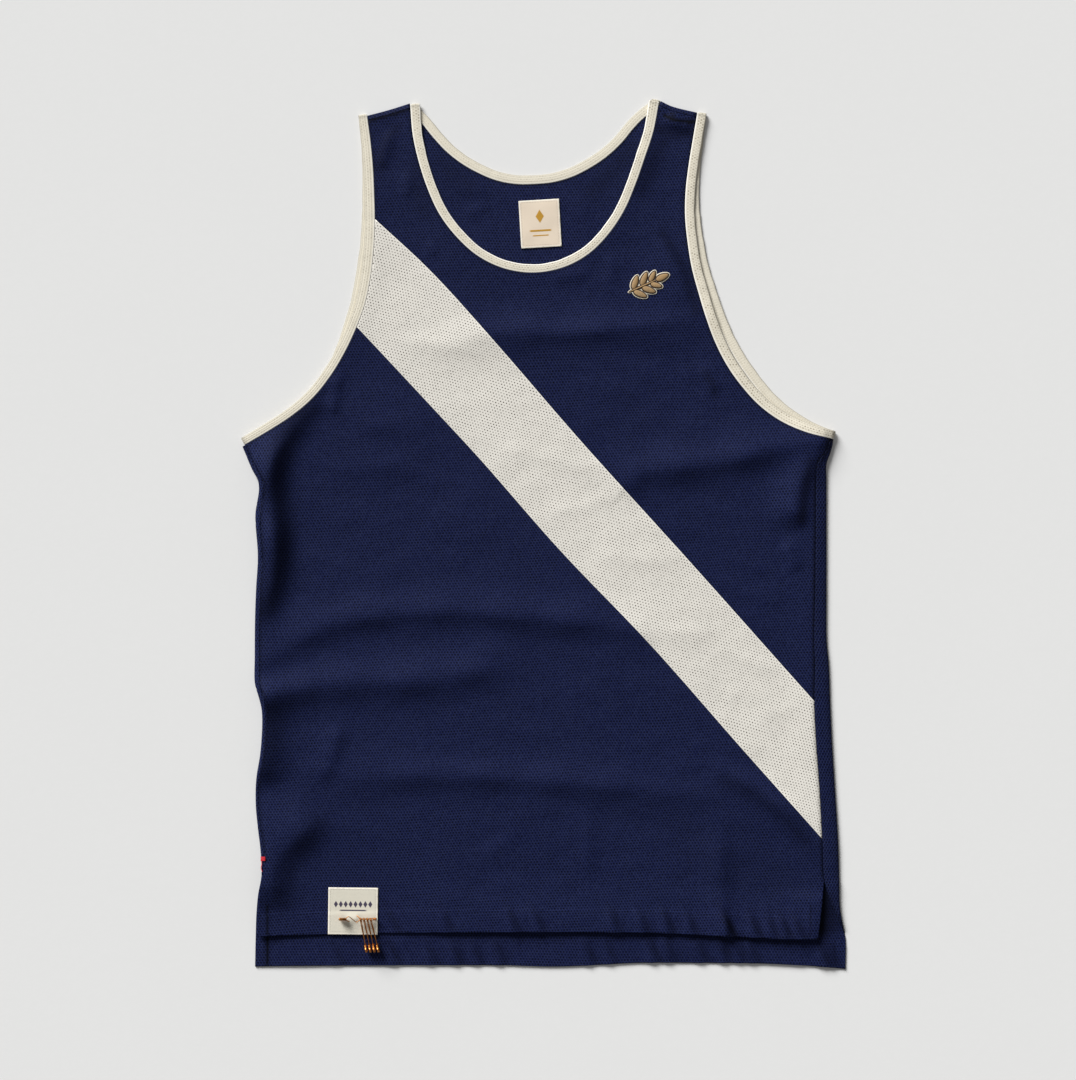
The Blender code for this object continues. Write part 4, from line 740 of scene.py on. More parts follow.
def front_mid(points):
    """Mid-height of the front's cloth over the points."""
    loose = 1 - np.exp(-(np.hypot(*(points - HEM_LABEL[:2]).T) / LABEL_FLAT) ** 4)
    lift = (FRONT_LOFT * loose) ** LIFT_POWER
    sewn = np.zeros(len(points))
    for edge, rise, reach in LIFTED_EDGES:
        near = np.exp(-(to_polyline(points, edge)[0] / reach) ** 2)
        lift += (rise * near) ** LIFT_POWER
        sewn = np.maximum(sewn, near)
    height = FRONT_REST + lift ** (1 / LIFT_POWER)
    calm, grooves = np.ones(len(points)), 0.0
    for seam, sign in ((SASH_TOP_SEAM, -1), (SASH_BOTTOM_SEAM, 1)):
        apart, side, _ = to_polyline(points, seam)
        calm *= ease(0.5 + sign * side * apart / SASH_BLEND)
        grooves = grooves + SASH_GROOVE * np.exp(-(apart / SASH_GROOVE_WIDTH) ** 2)
    calm = 1 - SASH_CALM * calm
    height += ripples(points, FRONT_SEED) * loose * (1 - EDGE_CALM * sewn) * calm
    height += folds_over(points, FOLDS, CREASES) * calm
    height += loose * (PUCKER_RISE * puckers(points, FRONT_PUCKERS, *FRONT_TURN_UP)
                       + hem_lift(points, *FRONT_TURN_UP))
    height -= grooves
    return (np.maximum(height, FRONT_REST)
            + (front_thickness(points) - cloth_thickness()) / 2)


def front_top(points):
    return front_mid(points) + front_thickness(points) / 2


def back_mid(points):
    """Mid-height of the back's cloth: on the floor, but for shallow creases."""
    folds = [(BACK_FOLD_SHARE * height, *rest) for height, *rest in FOLDS]
    rise = BACK_RISE + ripples(points, BACK_SEED) + folds_over(points, folds, BACK_CREASES)
    rise += PUCKER_RISE * puckers(points, BACK_PUCKERS, *BACK_TURN_UP)
    thick = back_thickness(points)
    room = front_mid(points) - front_thickness(points) / 2 - thick - BACK_ROOM
    return thick / 2 + np.clip(rise, 0.0, np.maximum(room, 0.0))


# ------------------------------------------------------------------ sheets of cloth
def inside(points, outline):
    """Which points are inside a closed outline."""
    a, b = outline, np.roll(outline, -1, axis=0)
    found = []
    for some in by_slices(points, outline):
        x, y = some[:, 0:1], some[:, 1:2]
        spans = (a[:, 1] > y) != (b[:, 1] > y)
        with np.errstate(divide="ignore", invalid="ignore"):
            meets = a[:, 0] + (y - a[:, 1]) * (b[:, 0] - a[:, 0]) / (b[:, 1] - a[:, 1])
        found.append((np.where(spans, meets > x, False).sum(axis=1) % 2).astype(bool))
    return np.concatenate(found)


def away_from(points, others, gap):
    """The points that are further than gap from all the others."""
    kept = []
    for some in by_slices(points, others):
        apart = np.hypot(some[:, None, 0] - others[None, :, 0],
                         some[:, None, 1] - others[None, :, 1]).min(axis=1)
        kept.append(some[apart > gap])
    return np.vstack(kept)


def ring_within(outline):
    """Points just inside an outline, which keep its rim's rounding narrow."""
    closed = np.vstack((outline, outline[:1]))
    ring = moved_left(np.vstack((outline[-1:], closed)), EDGE_RING)[1:-1]
    ring = ring[inside(ring, outline)]
    return ring[to_polyline(ring, closed)[0] > RING_SLACK * EDGE_RING]


def fill_points(outline, step, lines=()):
    """Points inside an outline: its ring, given lines and an even staggered field."""
    low, high = outline.min(axis=0), outline.max(axis=0)
    field = []
    for row, y in enumerate(np.arange(low[1], high[1], step * math.sqrt(0.75))):
        start = low[0] + (row % 2) * step / 2
        field.extend((x, y) for x in np.arange(start, high[0], step))
    field = np.array(field)
    kept = [ring_within(outline)]
    for line in lines:
        line = line[inside(line, outline)]
        kept.append(away_from(line, np.vstack((outline, *kept)), LINE_CLEARANCE * step))
    field = field[inside(field, outline)]
    return np.vstack((away_from(field, np.vstack((outline, *kept)), FIELD_CLEARANCE * step),
                      *kept))


def triangulated(outline, field):
    """Plan points and triangles that fill an outline. The outline's points come first."""
    points = [Vector(p) for p in outline] + [Vector(p) for p in field]
    border = list(range(len(outline)))
    made, _, faces, *_ = delaunay_2d_cdt(points, [], [border], 1, WELD)
    return np.array([tuple(p) for p in made]), faces


def on_the_grain(degrees):
    """Plan points as places on the cut cloth, its rows turned and a little uneven."""
    drift, shortest, longest = GRAIN_DRIFT

    def place(points):
        uneven = np.column_stack([waves_over(points, seed, shortest, longest)
                                  for seed in GRAIN_SEEDS])
        return spun(points + drift * uneven, -degrees)
    return place


def mesh_object(name, bm, finish):
    """A smooth mesh object in metres from a bmesh in millimetres, in its place."""
    bmesh.ops.scale(bm, vec=(MM, MM, MM), verts=bm.verts)
    mesh = bpy.data.meshes.new(name)
    bm.to_mesh(mesh)
    bm.free()
    mesh.shade_smooth()
    mesh.materials.append(finish)
    piece = bpy.data.objects.new(name, mesh)
    bpy.context.scene.collection.objects.link(piece)
    return piece


def chart_cloth(bm, place_of):
    """Write the UV map of a bmesh: each corner's place on the cut cloth."""
    chart = bm.loops.layers.uv.new("cloth")
    for face in bm.faces:
        for loop in face.loops:
            loop[chart].uv = place_of(loop.vert) * MM


def sheet_of_cloth(name, outline, field, heights, thickness, finish, place, marks, strips=()):
    """A piece of cloth: a filled outline at its heights, with strips that roll on from it.

    place gives each point's place on the cut cloth, and marks the values that the finish
    reads. A strip is (places, rolled, rows, directions, shade): the places on the outline
    where it starts, which of them roll on, the rows further out, each with its runs and its
    arcs, the way out, and how dark the painted shade on its fold is."""
    points, faces = triangulated(outline, field)
    bm = bmesh.new()
    layers = {mark: bm.verts.layers.float.new(mark) for mark in marks}
    verts = [bm.verts.new((*p, h)) for p, h in zip(points, heights(points))]
    cut = [Vector(p) for p in place(points)]
    for mark, values_at in marks.items():
        for vert, value in zip(verts, values_at(points)):
            vert[layers[mark]] = value
    for face in faces:
        bm.faces.new([verts[i] for i in face])
    for places, rolled, rows, directions, shade in strips:
        before = starts = [verts[i] for i in places]
        further = [Vector(p) for p in place(points[places] + directions)]
        for row, runs, arcs in rows:
            ahead = []
            for k, start in enumerate(starts):
                if not rolled[k]:
                    ahead.append(start)
                    continue
                vert = bm.verts.new(row[k])
                past = (runs[k] - FOLD_SHADE_START) / FOLD_SHADE_WIDTH
                vert[layers["hem"]] = start[layers["hem"]]
                vert[layers["sewn"]] = min(start[layers["sewn"]], arcs[k] - runs[k])
                # painted shade on the fold where it turns away from the light
                vert[layers["painted_shade"]] = max(start[layers["painted_shade"]], shade * math.exp(-past ** 2))
                root = cut[places[k]]
                cut.append(root + (further[k] - root) * runs[k])
                verts.append(vert)
                ahead.append(vert)
            for k in range(len(ahead) - 1):
                bm.faces.new(dict.fromkeys((before[k + 1], before[k], ahead[k], ahead[k + 1])))
            before = ahead
    bm.verts.index_update()
    chart_cloth(bm, lambda vert: cut[vert.index])
    wall = thickness(np.array([tuple(v.co)[:2] for v in verts]))
    piece = mesh_object(name, bm, finish)
    solid = piece.modifiers.new("wall", "SOLIDIFY")
    solid.thickness, solid.offset = wall.max() * MM, 0.0
    if wall.max() - wall.min() > EVEN_WALL:
        group = piece.vertex_groups.new(name="doubled")
        for index, share in enumerate((wall - wall.min()) / (wall.max() - wall.min())):
            group.add([index], float(share), "REPLACE")
        solid.vertex_group = group.name
        solid.thickness_vertex_group = wall.min() / wall.max()
    return piece


def cut_size(piece):
    """Width, length and area in metres of the cloth that a piece was cut from."""
    mesh = piece.data
    chart = np.empty(len(mesh.loops) * 2)
    mesh.uv_layers["cloth"].data.foreach_get("uv", chart)
    chart = chart.reshape(-1, 2)
    area = 0.0
    for face in mesh.polygons:
        corners = chart[list(face.loop_indices)]
        area += abs(cross(corners[1:-1] - corners[0], corners[2:] - corners[0]).sum()) / 2
    boxes = [sorted(np.ptp(spun(chart, -degrees), axis=0)) for degrees in range(0, 90, 3)]
    return min(boxes, key=math.prod), area


def declare(piece, body, node):
    """Put a piece on the body it rides on, and hide the CAD node that it stands for."""
    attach(piece, body)
    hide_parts(node)


def laid(piece, node):
    """Declare a sheet that stands for a CAD node and rides on the garment."""
    declare(piece, "garment", node)
    flat, area = cut_size(piece)


def rolled_rows(origins, directions, radii, arcs, climbs):
    """Rows of points that carry a flat sheet round a roll and, climbing, on to its seam."""
    half_turn = np.pi * radii
    full = arcs > half_turn + SHORTEST_CLIMB
    rows = []
    for k in range(1, ROLL_STEPS + BACK_STEPS + 1):
        past = max(k - ROLL_STEPS, 0) / BACK_STEPS
        run = np.where(full, half_turn * min(k / ROLL_STEPS, 1.0) + (arcs - half_turn) * past,
                       arcs * k / (ROLL_STEPS + BACK_STEPS))
        angle = np.minimum(run / radii, np.pi)
        out = radii * np.sin(angle) - np.maximum(run - half_turn, 0.0)
        up = BACK_REST + radii * (1 - np.cos(angle)) + np.where(full, climbs * ease(past), 0.0)
        rows.append((np.column_stack((origins + directions * out[:, None], up)), run, arcs))
    return rows


def roll_of(seams, wraps):
    """Roll radius, arc, the fold's reach and the climb from it, for each place on a fold."""
    rise = front_mid(seams) - BACK_REST
    radii = np.maximum(ROLL_SAG * rise, FREE_ROLL) / 2
    reach = radii + cloth_thickness() / 2
    arcs = np.pi * radii + np.maximum(wraps - reach, SHORTEST_ROLL)
    return radii, arcs, reach, rise - 2 * radii


def side_roll(rows, sign, slit_top):
    """Where a side leaves the surface, with the directions, radii and arcs of its roll."""
    directions = outward(rows, sign)
    folds, wraps = rows[:, [1, 0]], rows[:, 2]
    radii, arcs, reach, climbs = roll_of(folds - directions * wraps[:, None], wraps)
    free = rows[:, 0] < slit_top
    half = cloth_thickness() / 2
    free_reach = FREE_ROLL + half
    free_arcs = np.where(wraps > free_reach, np.pi * FREE_ROLL + wraps - free_reach,
                         np.pi * FREE_ROLL * wraps / free_reach)
    quarter = np.minimum(free_arcs / FREE_ROLL, np.pi / 2)
    free_out = FREE_ROLL * np.sin(quarter) + half * np.minimum(free_arcs, 1.0)
    radii, arcs, reach, climbs = (np.where(free, slit, seam) for slit, seam in (
        (FREE_ROLL, radii), (free_arcs, arcs), (free_out, reach), (0.0, climbs)))
    return np.column_stack((folds - directions * reach[:, None], directions, radii, arcs,
                            climbs))


def strip_from(outline, places, table, shade=0.0):
    """The rolled strip that starts at some of an outline's points."""
    starts = outline[places]
    nearest = [np.argmin(np.hypot(*(table[:, :2] - p).T)) for p in starts]
    rows = table[nearest]
    rolled = rows[:, 5] > SHORTEST_ROLL
    used = rolled.copy()
    used[1:] |= rolled[:-1]
    used[:-1] |= rolled[1:]
    places, starts, rows = np.array(places)[used], starts[used], rows[used]
    return (places, rolled[used],
            rolled_rows(starts, rows[:, 2:4], *rows[:, 4:].T), rows[:, 2:4], shade)


def distance_to(edges):
    """A mark's values: the distance to the nearest of some edges."""
    def values_at(points):
        nearest = np.full(len(points), MARK_REACH)
        for edge in edges:
            nearest = np.minimum(nearest, to_polyline(points, edge)[0])
        return nearest
    return values_at


def stitch_lines(hem, depth, slits):
    """A mark's values: the distance inside the stitches of a hem and its slits."""
    def values_at(points):
        x, y = points.T
        inside_by = -below_stitches(points, hem, depth)
        for line, top in slits:
            aside = (line - x) * math.copysign(1, line)
            inside_by = np.minimum(inside_by, aside + MARK_REACH * ease((y - top) / SLIT_END))
        return np.clip(inside_by, -MARK_REACH, MARK_REACH)
    return values_at


def hollows(table, pucker_table, hem, hem_depth):
    """A mark's values: how much painted shade the points get, in one of the hollows or beside a
    pucker.
    """
    def values_at(points):
        depth = HOLLOW_SHADE * puckers(points, pucker_table, hem, hem_depth, HOLLOW_SLANT, 0.0)
        for share, width, line in table:
            apart = to_polyline(points, smooth_curve(line))[0] / width
            depth = np.maximum(depth, share * np.exp(-apart ** 2))
        return depth
    return values_at


def groove_lines(table):
    """Lines along the grooves of a table and close on both sides of them."""
    return [smooth_curve(line) + (aside, 0) for _, _, line in table
            for aside in (0, GROOVE_SIDE, -GROOVE_SIDE)]


def hem_lines(hem, depth):
    """The two lines between which a hem's second layer starts."""
    return [hem + (0, depth + step) for step in (HEM_STEP, -HEM_STEP)]


# ------------------------------------------------------------------ finishes
def maths(operation):
    """A method of Term that works its value and the others with one Math node."""
    def method(self, *others):
        return self.finish.node("Math", {"operation": operation},
                                dict(enumerate((self, *others))))
    return method


class Term:
    """One value in a finish: a socket that Python's operators work on."""

    def __init__(self, finish, socket):
        self.finish, self.socket = finish, socket

    __add__ = __radd__ = maths("ADD")
    __mul__ = __rmul__ = maths("MULTIPLY")
    __sub__, __truediv__ = maths("SUBTRACT"), maths("DIVIDE")
    __abs__, largest = maths("ABSOLUTE"), maths("MAXIMUM")
    floor, fraction = maths("FLOOR"), maths("FRACT")
    root, sine = maths("SQRT"), maths("SINE")

    def __rsub__(self, other):
        return self.finish.node("Math", {"operation": "SUBTRACT"}, {0: other, 1: self})

    def between(self, start, end):
        """0 up to start, 1 from end on, and smooth between them, in either order."""
        return self.finish.node("MapRange", {"interpolation_type": "SMOOTHSTEP"},
                                {"Value": self, "From Min": start, "From Max": end})

    def part(self, axis):
        return self.finish.node("SeparateXYZ", {}, {0: self}, axis)

    def stitches(self, length, gap, thread):
        """1 on the thread of a line of stitches and 0 in its gaps, from shares of length."""
        return (self / length).fraction().between(gap, thread)


class Finish:
    """A material under way: its Principled shader and the method that makes its nodes."""

    def __init__(self, name, roughness, specular, metallic=0.0):
        self.material = bpy.data.materials.new(name)
        self.material.use_nodes = True
        self.tree = self.material.node_tree
        self.shader = self.tree.nodes["Principled BSDF"]
        self.feed(self.shader.inputs["Roughness"], roughness)
        self.feed(self.shader.inputs["Specular IOR Level"], specular)
        self.feed(self.shader.inputs["Metallic"], metallic)

    def feed(self, socket, value):
        if isinstance(value, Term):
            self.tree.links.new(value.socket, socket)
        elif hasattr(value, "__len__") and len(value) == 3 and socket.type == "RGBA":
            socket.default_value = (*value, 1.0)
        else:
            socket.default_value = value

    def node(self, kind, settings=None, inputs=None, output=0):
        made = self.tree.nodes.new("ShaderNode" + kind)
        for name, value in (settings or {}).items():
            setattr(made, name, value)
        for name, value in (inputs or {}).items():
            self.feed(made.inputs[name], value)
        return Term(self, made.outputs[output])

    def cloth(self):
        """Across and along the cut cloth, in millimetres."""
        chart = self.node("UVMap", {"uv_map": "cloth"})
        return chart.part("X") * 1000.0, chart.part("Y") * 1000.0

    def mark(self, name):
        return self.node("Attribute", {"attribute_name": name}, output="Fac")

    def place(self):
        return self.node("TexCoord", output="Object")

    def noise(self, size, detail=2.0):
        """Soft noise about a half, its features about size millimetres wide."""
        return self.node("TexNoise", {}, {"Vector": self.place(), "Scale": 1000.0 / size,
                                          "Detail": detail})

    def chance(self, across, along_it):
        """A random value for each whole number pair."""
        where = self.node("CombineXYZ", {}, {0: across, 1: along_it})
        return self.node("TexWhiteNoise", {"noise_dimensions": "2D"}, {"Vector": where})

    def mixed(self, share, first, second):
        return self.node("Mix", {"data_type": "RGBA"}, {"Factor": share, 6: first, 7: second},
                         2)

    def shaded(self, colour, amount):
        """A colour made lighter or darker by a factor that changes over the surface."""
        return self.node("VectorMath", {"operation": "SCALE"}, {0: colour, "Scale": amount})

    def done(self, colour, height, depth, strength):
        """Set the colour, and a relief whose full height is depth millimetres."""
        self.feed(self.shader.inputs["Base Color"], colour)
        self.feed(self.shader.inputs["Normal"], self.node("Bump", {}, {
            "Strength": strength, "Distance": depth * MM, "Height": height}))
        return self.material


def knit_pitches():
    """Spacing of the knit's holes in a row and of its rows, in millimetres."""
    knit = bpy.context.scene.singlet_knit
    return knit.hole_pitch / MM, knit.row_pitch / MM


def knit_holes(finish, across, along_it, share=1.0):
    """Staggered holes of the mesh, 1 in a hole, and a random value for each."""
    pitch, row_pitch = knit_pitches()
    half = bpy.context.scene.singlet_knit.hole_size * share / MM / 2
    row = along_it / row_pitch
    column = across / pitch + (row.floor() * 0.5).fraction()
    off_x = (column.fraction() - 0.5) * pitch
    off_y = (row.fraction() - 0.5) * row_pitch
    off = (off_x * off_x + off_y * off_y).root()
    return (off.between(half + HOLE_SOFTNESS, half - HOLE_SOFTNESS),
            finish.chance(column.floor(), row.floor()))


def mesh_knit(name, colour, hole, hole_share, gloss, knot, knot_colour, edge=None,
              shade=0.0):
    """Open mesh knit: holes of uneven strength, knots between them, faint mottling.

    knot is how much the knots differ from the ground, edge is the colour of a pressed seam's
    edge, and shade is how dark the painted shade beside the sewn edges is."""
    finish = Finish(name, 0.68, gloss)
    across, along_it = finish.cloth()
    holes, chance = knit_holes(finish, across, along_it, hole_share)
    depth = holes * (0.55 + 0.45 * chance)
    pitch, row_pitch = knit_pitches()
    knots = ((across * (2 * math.pi / pitch)).sine()
             * (along_it * (math.pi / row_pitch)).sine()) * 0.9 + finish.noise(2.0, 1.0)
    mottle = 0.9 + 0.16 * finish.noise(30.0, 3.0) + 0.05 * finish.noise(3.2)
    ground = finish.mixed(knots * knot, finish.shaded(colour, mottle), knot_colour)
    seam = finish.mark("sewn")
    # painted shade on the cloth beside the bindings and seams
    if shade:
        ground = finish.shaded(ground, 1.0 - shade * seam.between(3.2, 0.4))
    # painted shade from its mark darkens the ground in hollows, grooves and on the right side's
    # fold
    ground = finish.mixed(depth, finish.shaded(ground, 1.0 - finish.mark("painted_shade")), hole)
    if edge:
        ground = finish.mixed(seam.between(1.0, 0.55), ground, edge)
    hem = finish.mark("hem")
    stitch = abs(hem).between(0.62, 0.3) * (across + along_it).stitches(HEM_STITCH, 0.16, 0.3)
    # the stitches are lighter thread; a painted shade line runs just below them, at the edge of
    # the turned-up layer
    ground = finish.shaded(ground, 1.0 + 0.2 * stitch - 0.12 * abs(hem + 1.0).between(0.9, 0.3))
    loops = ((across * 5.2).sine() * (along_it * 5.8).sine()) * 0.18
    relief = loops - depth + stitch * 0.8 + finish.noise(6.0) * 0.5
    return finish.done(ground, relief, 0.22, 0.7)


def binding_knit(name, ribs, dots, crosswise, both_edges):
    """Folded binding: bright turned edges, stitch lines, sparse holes, puckers across, painted
    shade along its outer edge where only one edge is turned, and painted shade at its ends,
    from the distance to them that the binding is marked with."""
    finish = Finish(name, 0.88, 0.15)
    run, inward = finish.cloth()
    width = BAND_CHART
    line = inward.between(1.25, 0.8)
    if both_edges:
        line = line.largest(inward.between(width - 1.25, width - 0.8))
    holes, chance = knit_holes(finish, run, inward + 0.6)
    speck = holes * (0.45 + 0.55 * chance.between(0.4, 0.9)) * dots * (1.0 - line)
    lengthwise = ((inward * (2 * math.pi / RIB_PITCH)).sine() * 0.5 + 0.5) * ribs
    uneven = finish.noise(9.0)
    across = ((run * (2 * math.pi / PUCKER_PITCH) + uneven * 9.0).sine() * 0.5
              + 0.5) * crosswise
    stitches = abs(abs(inward - width / 2) - BAND_STITCH_LINE).between(0.5, 0.1)
    stitches = stitches * run.stitches(BAND_STITCH, 0.2, 0.4)
    loops = (run * 5.6).sine() * (inward * 6.3).sine()
    ground = finish.shaded(bpy.context.scene.singlet_knit.binding,
                           0.94 + 0.07 * finish.noise(14.0, 3.0) + 0.09 * finish.noise(2.4)
                           + 0.03 * loops - 0.07 * lengthwise - 0.06 * across
                           - 0.04 * stitches)
    ground = finish.mixed(speck, ground, linear(140, 128, 108))
    ground = finish.mixed(line, ground, linear(246, 242, 232))
    # painted shade along the outer edge, which turns down away from the light
    if not both_edges:
        ground = finish.shaded(ground, 1.0 - 0.42 * inward.between(width - 1.5, width - 0.1))
    # painted shade at the rolled ends, which face the light
    ground = finish.shaded(ground, 1.0 - 0.3 * finish.mark("tip").between(5.0, 1.0))
    relief = line * 0.4 + lengthwise * 0.4 + across * 0.35 - stitches * 0.3 - speck * 0.6
    relief = relief + uneven * 0.5 + loops * 0.2 + finish.noise(1.6) * 0.3
    return finish.done(ground, relief, 0.3, 0.7)


def woven_label(name, colour, marks):
    """Woven label: fine warp and weft, a bright turned border, plain woven marks.

    marks is a list of (kind, x, y, half width, half height, colour) on the label."""
    finish = Finish(name, 0.75, 0.25)
    x, y = finish.cloth()
    weave = (x * 9.0).sine() * (y * 9.0).sine()
    ground = finish.shaded(colour, 0.985 + 0.03 * weave + 0.04 * (finish.noise(12.0) - 0.5))
    total = 0.0
    for kind, at_x, at_y, half_width, half_height, ink in marks:
        off_x, off_y = abs(x - at_x) / half_width, abs(y - at_y) / half_height
        off = off_x + off_y if kind == "diamond" else off_x.largest(off_y)
        shape = off.between(1.12, 0.88)
        ground = finish.mixed(shape, ground, ink)
        total = shape + total
    border = finish.mark("sewn")
    ground = finish.mixed(border.between(1.3, 0.8), ground, linear(240, 233, 218))
    stitch = abs(border - 1.9).between(0.4, 0.15) * (x + y).stitches(LABEL_STITCH, 0.2, 0.4)
    relief = weave * 0.25 + total * 0.5 - stitch * 0.6 + finish.noise(9.0) * 0.4
    return finish.done(finish.shaded(ground, 1.0 - 0.12 * stitch), relief, 0.2, 0.7)


def satin_thread(name, colour, pitch, dark):
    """Embroidery thread laid side by side, its strands across the leaf or border."""
    finish = Finish(name, 0.55, 0.35)
    run, across = finish.cloth()
    strand = ((run + across * 0.45) * (2 * math.pi / pitch)).sine() * 0.5 + 0.5
    wear = finish.noise(3.0)
    ground = finish.shaded(colour, (1.0 - dark) + dark * strand + 0.3 * (wear - 0.5))
    return finish.done(ground, strand, 0.18, 0.8)


def twisted_thread(name, colour):
    """Sewing thread: two plies that wind round each other."""
    finish = Finish(name, 0.6, 0.3)
    place = finish.place()
    ply = ((place.part("X") + place.part("Y")) * 9000.0).sine() * 0.5 + 0.5
    return finish.done(finish.shaded(colour, 0.8 + 0.3 * ply), ply, 0.08, 0.6)


def brass():
    """Drawn brass: fine marks, a darker tone in places."""
    if "pin_brass" in bpy.data.materials:
        return bpy.data.materials["pin_brass"]
    pins = bpy.context.scene.singlet_pins
    finish = Finish("pin_brass", pins.roughness, 0.5, 1.0)
    dull = finish.noise(4.0, 3.0).between(0.45, 0.7)
    ground = finish.mixed(dull * 0.6, pins.brass, linear(112, 66, 36))
    finish.feed(finish.shader.inputs["Roughness"], pins.roughness + dull * 0.15)
    return finish.done(ground, finish.noise(0.6, 1.0), 0.02, 0.4)


# ------------------------------------------------------------------ stage
class SINGLET_OT_stage(bpy.types.Operator):
    """Lay the pale floor and set the soft light, the sky and the camera"""
    bl_idname = "singlet.stage"
    bl_label = "Stage"

    def execute(self, context):
        scene = context.scene
        settings = scene.singlet_stage
        for name in ("Cube", "Light", "Camera"):
            if name in bpy.data.objects:
                bpy.data.objects.remove(bpy.data.objects[name], do_unlink=True)
        bm = bmesh.new()
        bmesh.ops.create_grid(bm, x_segments=8, y_segments=8, size=FLOOR_SIZE)
        bmesh.ops.translate(bm, verts=bm.verts, vec=(0, 0, -FLOOR_DROP))
        finish = Finish("floor_paper", 0.9, 0.1)
        mottle = 0.985 + 0.02 * finish.noise(7.0, 3.0) + 0.012 * finish.noise(140.0)
        paper = finish.done(finish.shaded(settings.floor, mottle), finish.noise(2.5, 3.0),
                            0.08, 0.3)
        mesh_object("floor", bm, paper)

        light = bpy.data.lights.new("key_light", "SUN")
        light.energy, light.angle = settings.key_strength, settings.key_softness
        key = bpy.data.objects.new("key_light", light)
        fall = -Vector((math.cos(settings.key_bearing), math.sin(settings.key_bearing),
                        math.tan(settings.key_elevation)))
        key.rotation_euler = fall.to_track_quat("-Z", "Y").to_euler()
        sky = bpy.data.worlds.new("studio")
        sky.use_nodes = True
        light_of_sky = sky.node_tree.nodes["Background"].inputs
        light_of_sky["Color"].default_value = (1, 1, 1, 1)
        light_of_sky["Strength"].default_value = settings.fill
        scene.world = sky

        lens = bpy.data.cameras.new("camera")
        lens.type, lens.lens = "PERSP", LENS
        lens.sensor_fit, lens.sensor_height = "VERTICAL", SENSOR
        lens.clip_start, lens.clip_end = 0.05, 20.0
        camera = bpy.data.objects.new("camera", lens)
        x, y = CAMERA_OVER
        camera.location = (x * MM, y * MM, settings.camera_height)
        for thing in (key, camera):
            scene.collection.objects.link(thing)
        scene.camera = camera
        scene.view_settings.view_transform = "Standard"
        return {"FINISHED"}


# ------------------------------------------------------------------ panels
def navy_finish(name, shade):
    knit = bpy.context.scene.singlet_knit
    return mesh_knit(name, tuple(knit.navy), linear(3, 5, 17), 1.0, 0.08, 0.42,
                     linear(55, 65, 101), shade=shade)


class SINGLET_OT_back_panel(bpy.types.Operator):
    """Lay the back panel flat and roll it round the sides and over the shoulders"""
    bl_idname = "singlet.back_panel"
    bl_label = "Back panel"

    def execute(self, context):
        inset = GAP / 2
        left_side = side_roll(LEFT_FOLD, -1, LEFT_SLIT_TOP)
        right_side = side_roll(RIGHT_FOLD, 1, RIGHT_SLIT_TOP)
        shoulders = {}
        for side, fold in SHOULDERS.items():
            up = np.tile(STRAP_UP[side], (len(fold), 1))
            radii, arcs, reach, climbs = roll_of(fold - up * SHOULDER_WRAP, SHOULDER_WRAP)
            shoulders[side] = np.column_stack((fold - up * reach[:, None], up, radii, arcs,
                                               climbs))
        rolls = [left_side, right_side, shoulders["right"], shoulders["left"]]
        outline, places = join_edges([
            left_side[:, :2], BACK_HEM_EDGE, right_side[::-1, :2],
            moved_left(RIGHT_BACK_ARMHOLE_EDGE[::-1], inset), shoulders["right"][::-1, :2],
            moved_left(BACK_NECK_EDGE[::-1], inset), shoulders["left"][::-1, :2],
            moved_left(LEFT_BACK_ARMHOLE_EDGE, inset)])
        strips = [strip_from(outline, places[2 * k], roll, shade)
                  for k, (roll, shade) in enumerate(zip(rolls, (0.0, FOLD_SHADE, 0.0, 0.0)))]
        bound = [LEFT_BACK_ARMHOLE_EDGE, RIGHT_BACK_ARMHOLE_EDGE, BACK_NECK_EDGE]
        started = distance_to(bound + [roll[:, :2] for roll in rolls])

        def heights(points):
            """The back's heights, level where its rolls and bindings start."""
            level = back_thickness(points) / 2
            return level + (back_mid(points) - level) * ease(started(points) / MARK_REACH)

        # the mark of painted shade: the back's hollows, its slit grooves and the hollows beside
        # its puckers
        marks = {"sewn": distance_to(bound),
                 "hem": stitch_lines(*BACK_TURN_UP, BACK_SLIT_STITCHES),
                 "painted_shade": hollows(BACK_HOLLOWS + BACK_SLIT_GROOVES, BACK_PUCKERS,
                                 *BACK_TURN_UP)}
        field = fill_points(outline, BACK_STEP,
                            groove_lines(BACK_SLIT_GROOVES) + hem_lines(*BACK_TURN_UP))
        piece = sheet_of_cloth("back_cloth", outline, field, heights, back_thickness,
                               navy_finish("navy_knit_back", 0.3), on_the_grain(0.0), marks,
                               strips)
        laid(piece, "back_panel")
        return {"FINISHED"}


def shoulder_seam(side):
    return SHOULDERS[side] - STRAP_UP[side] * SHOULDER_WRAP


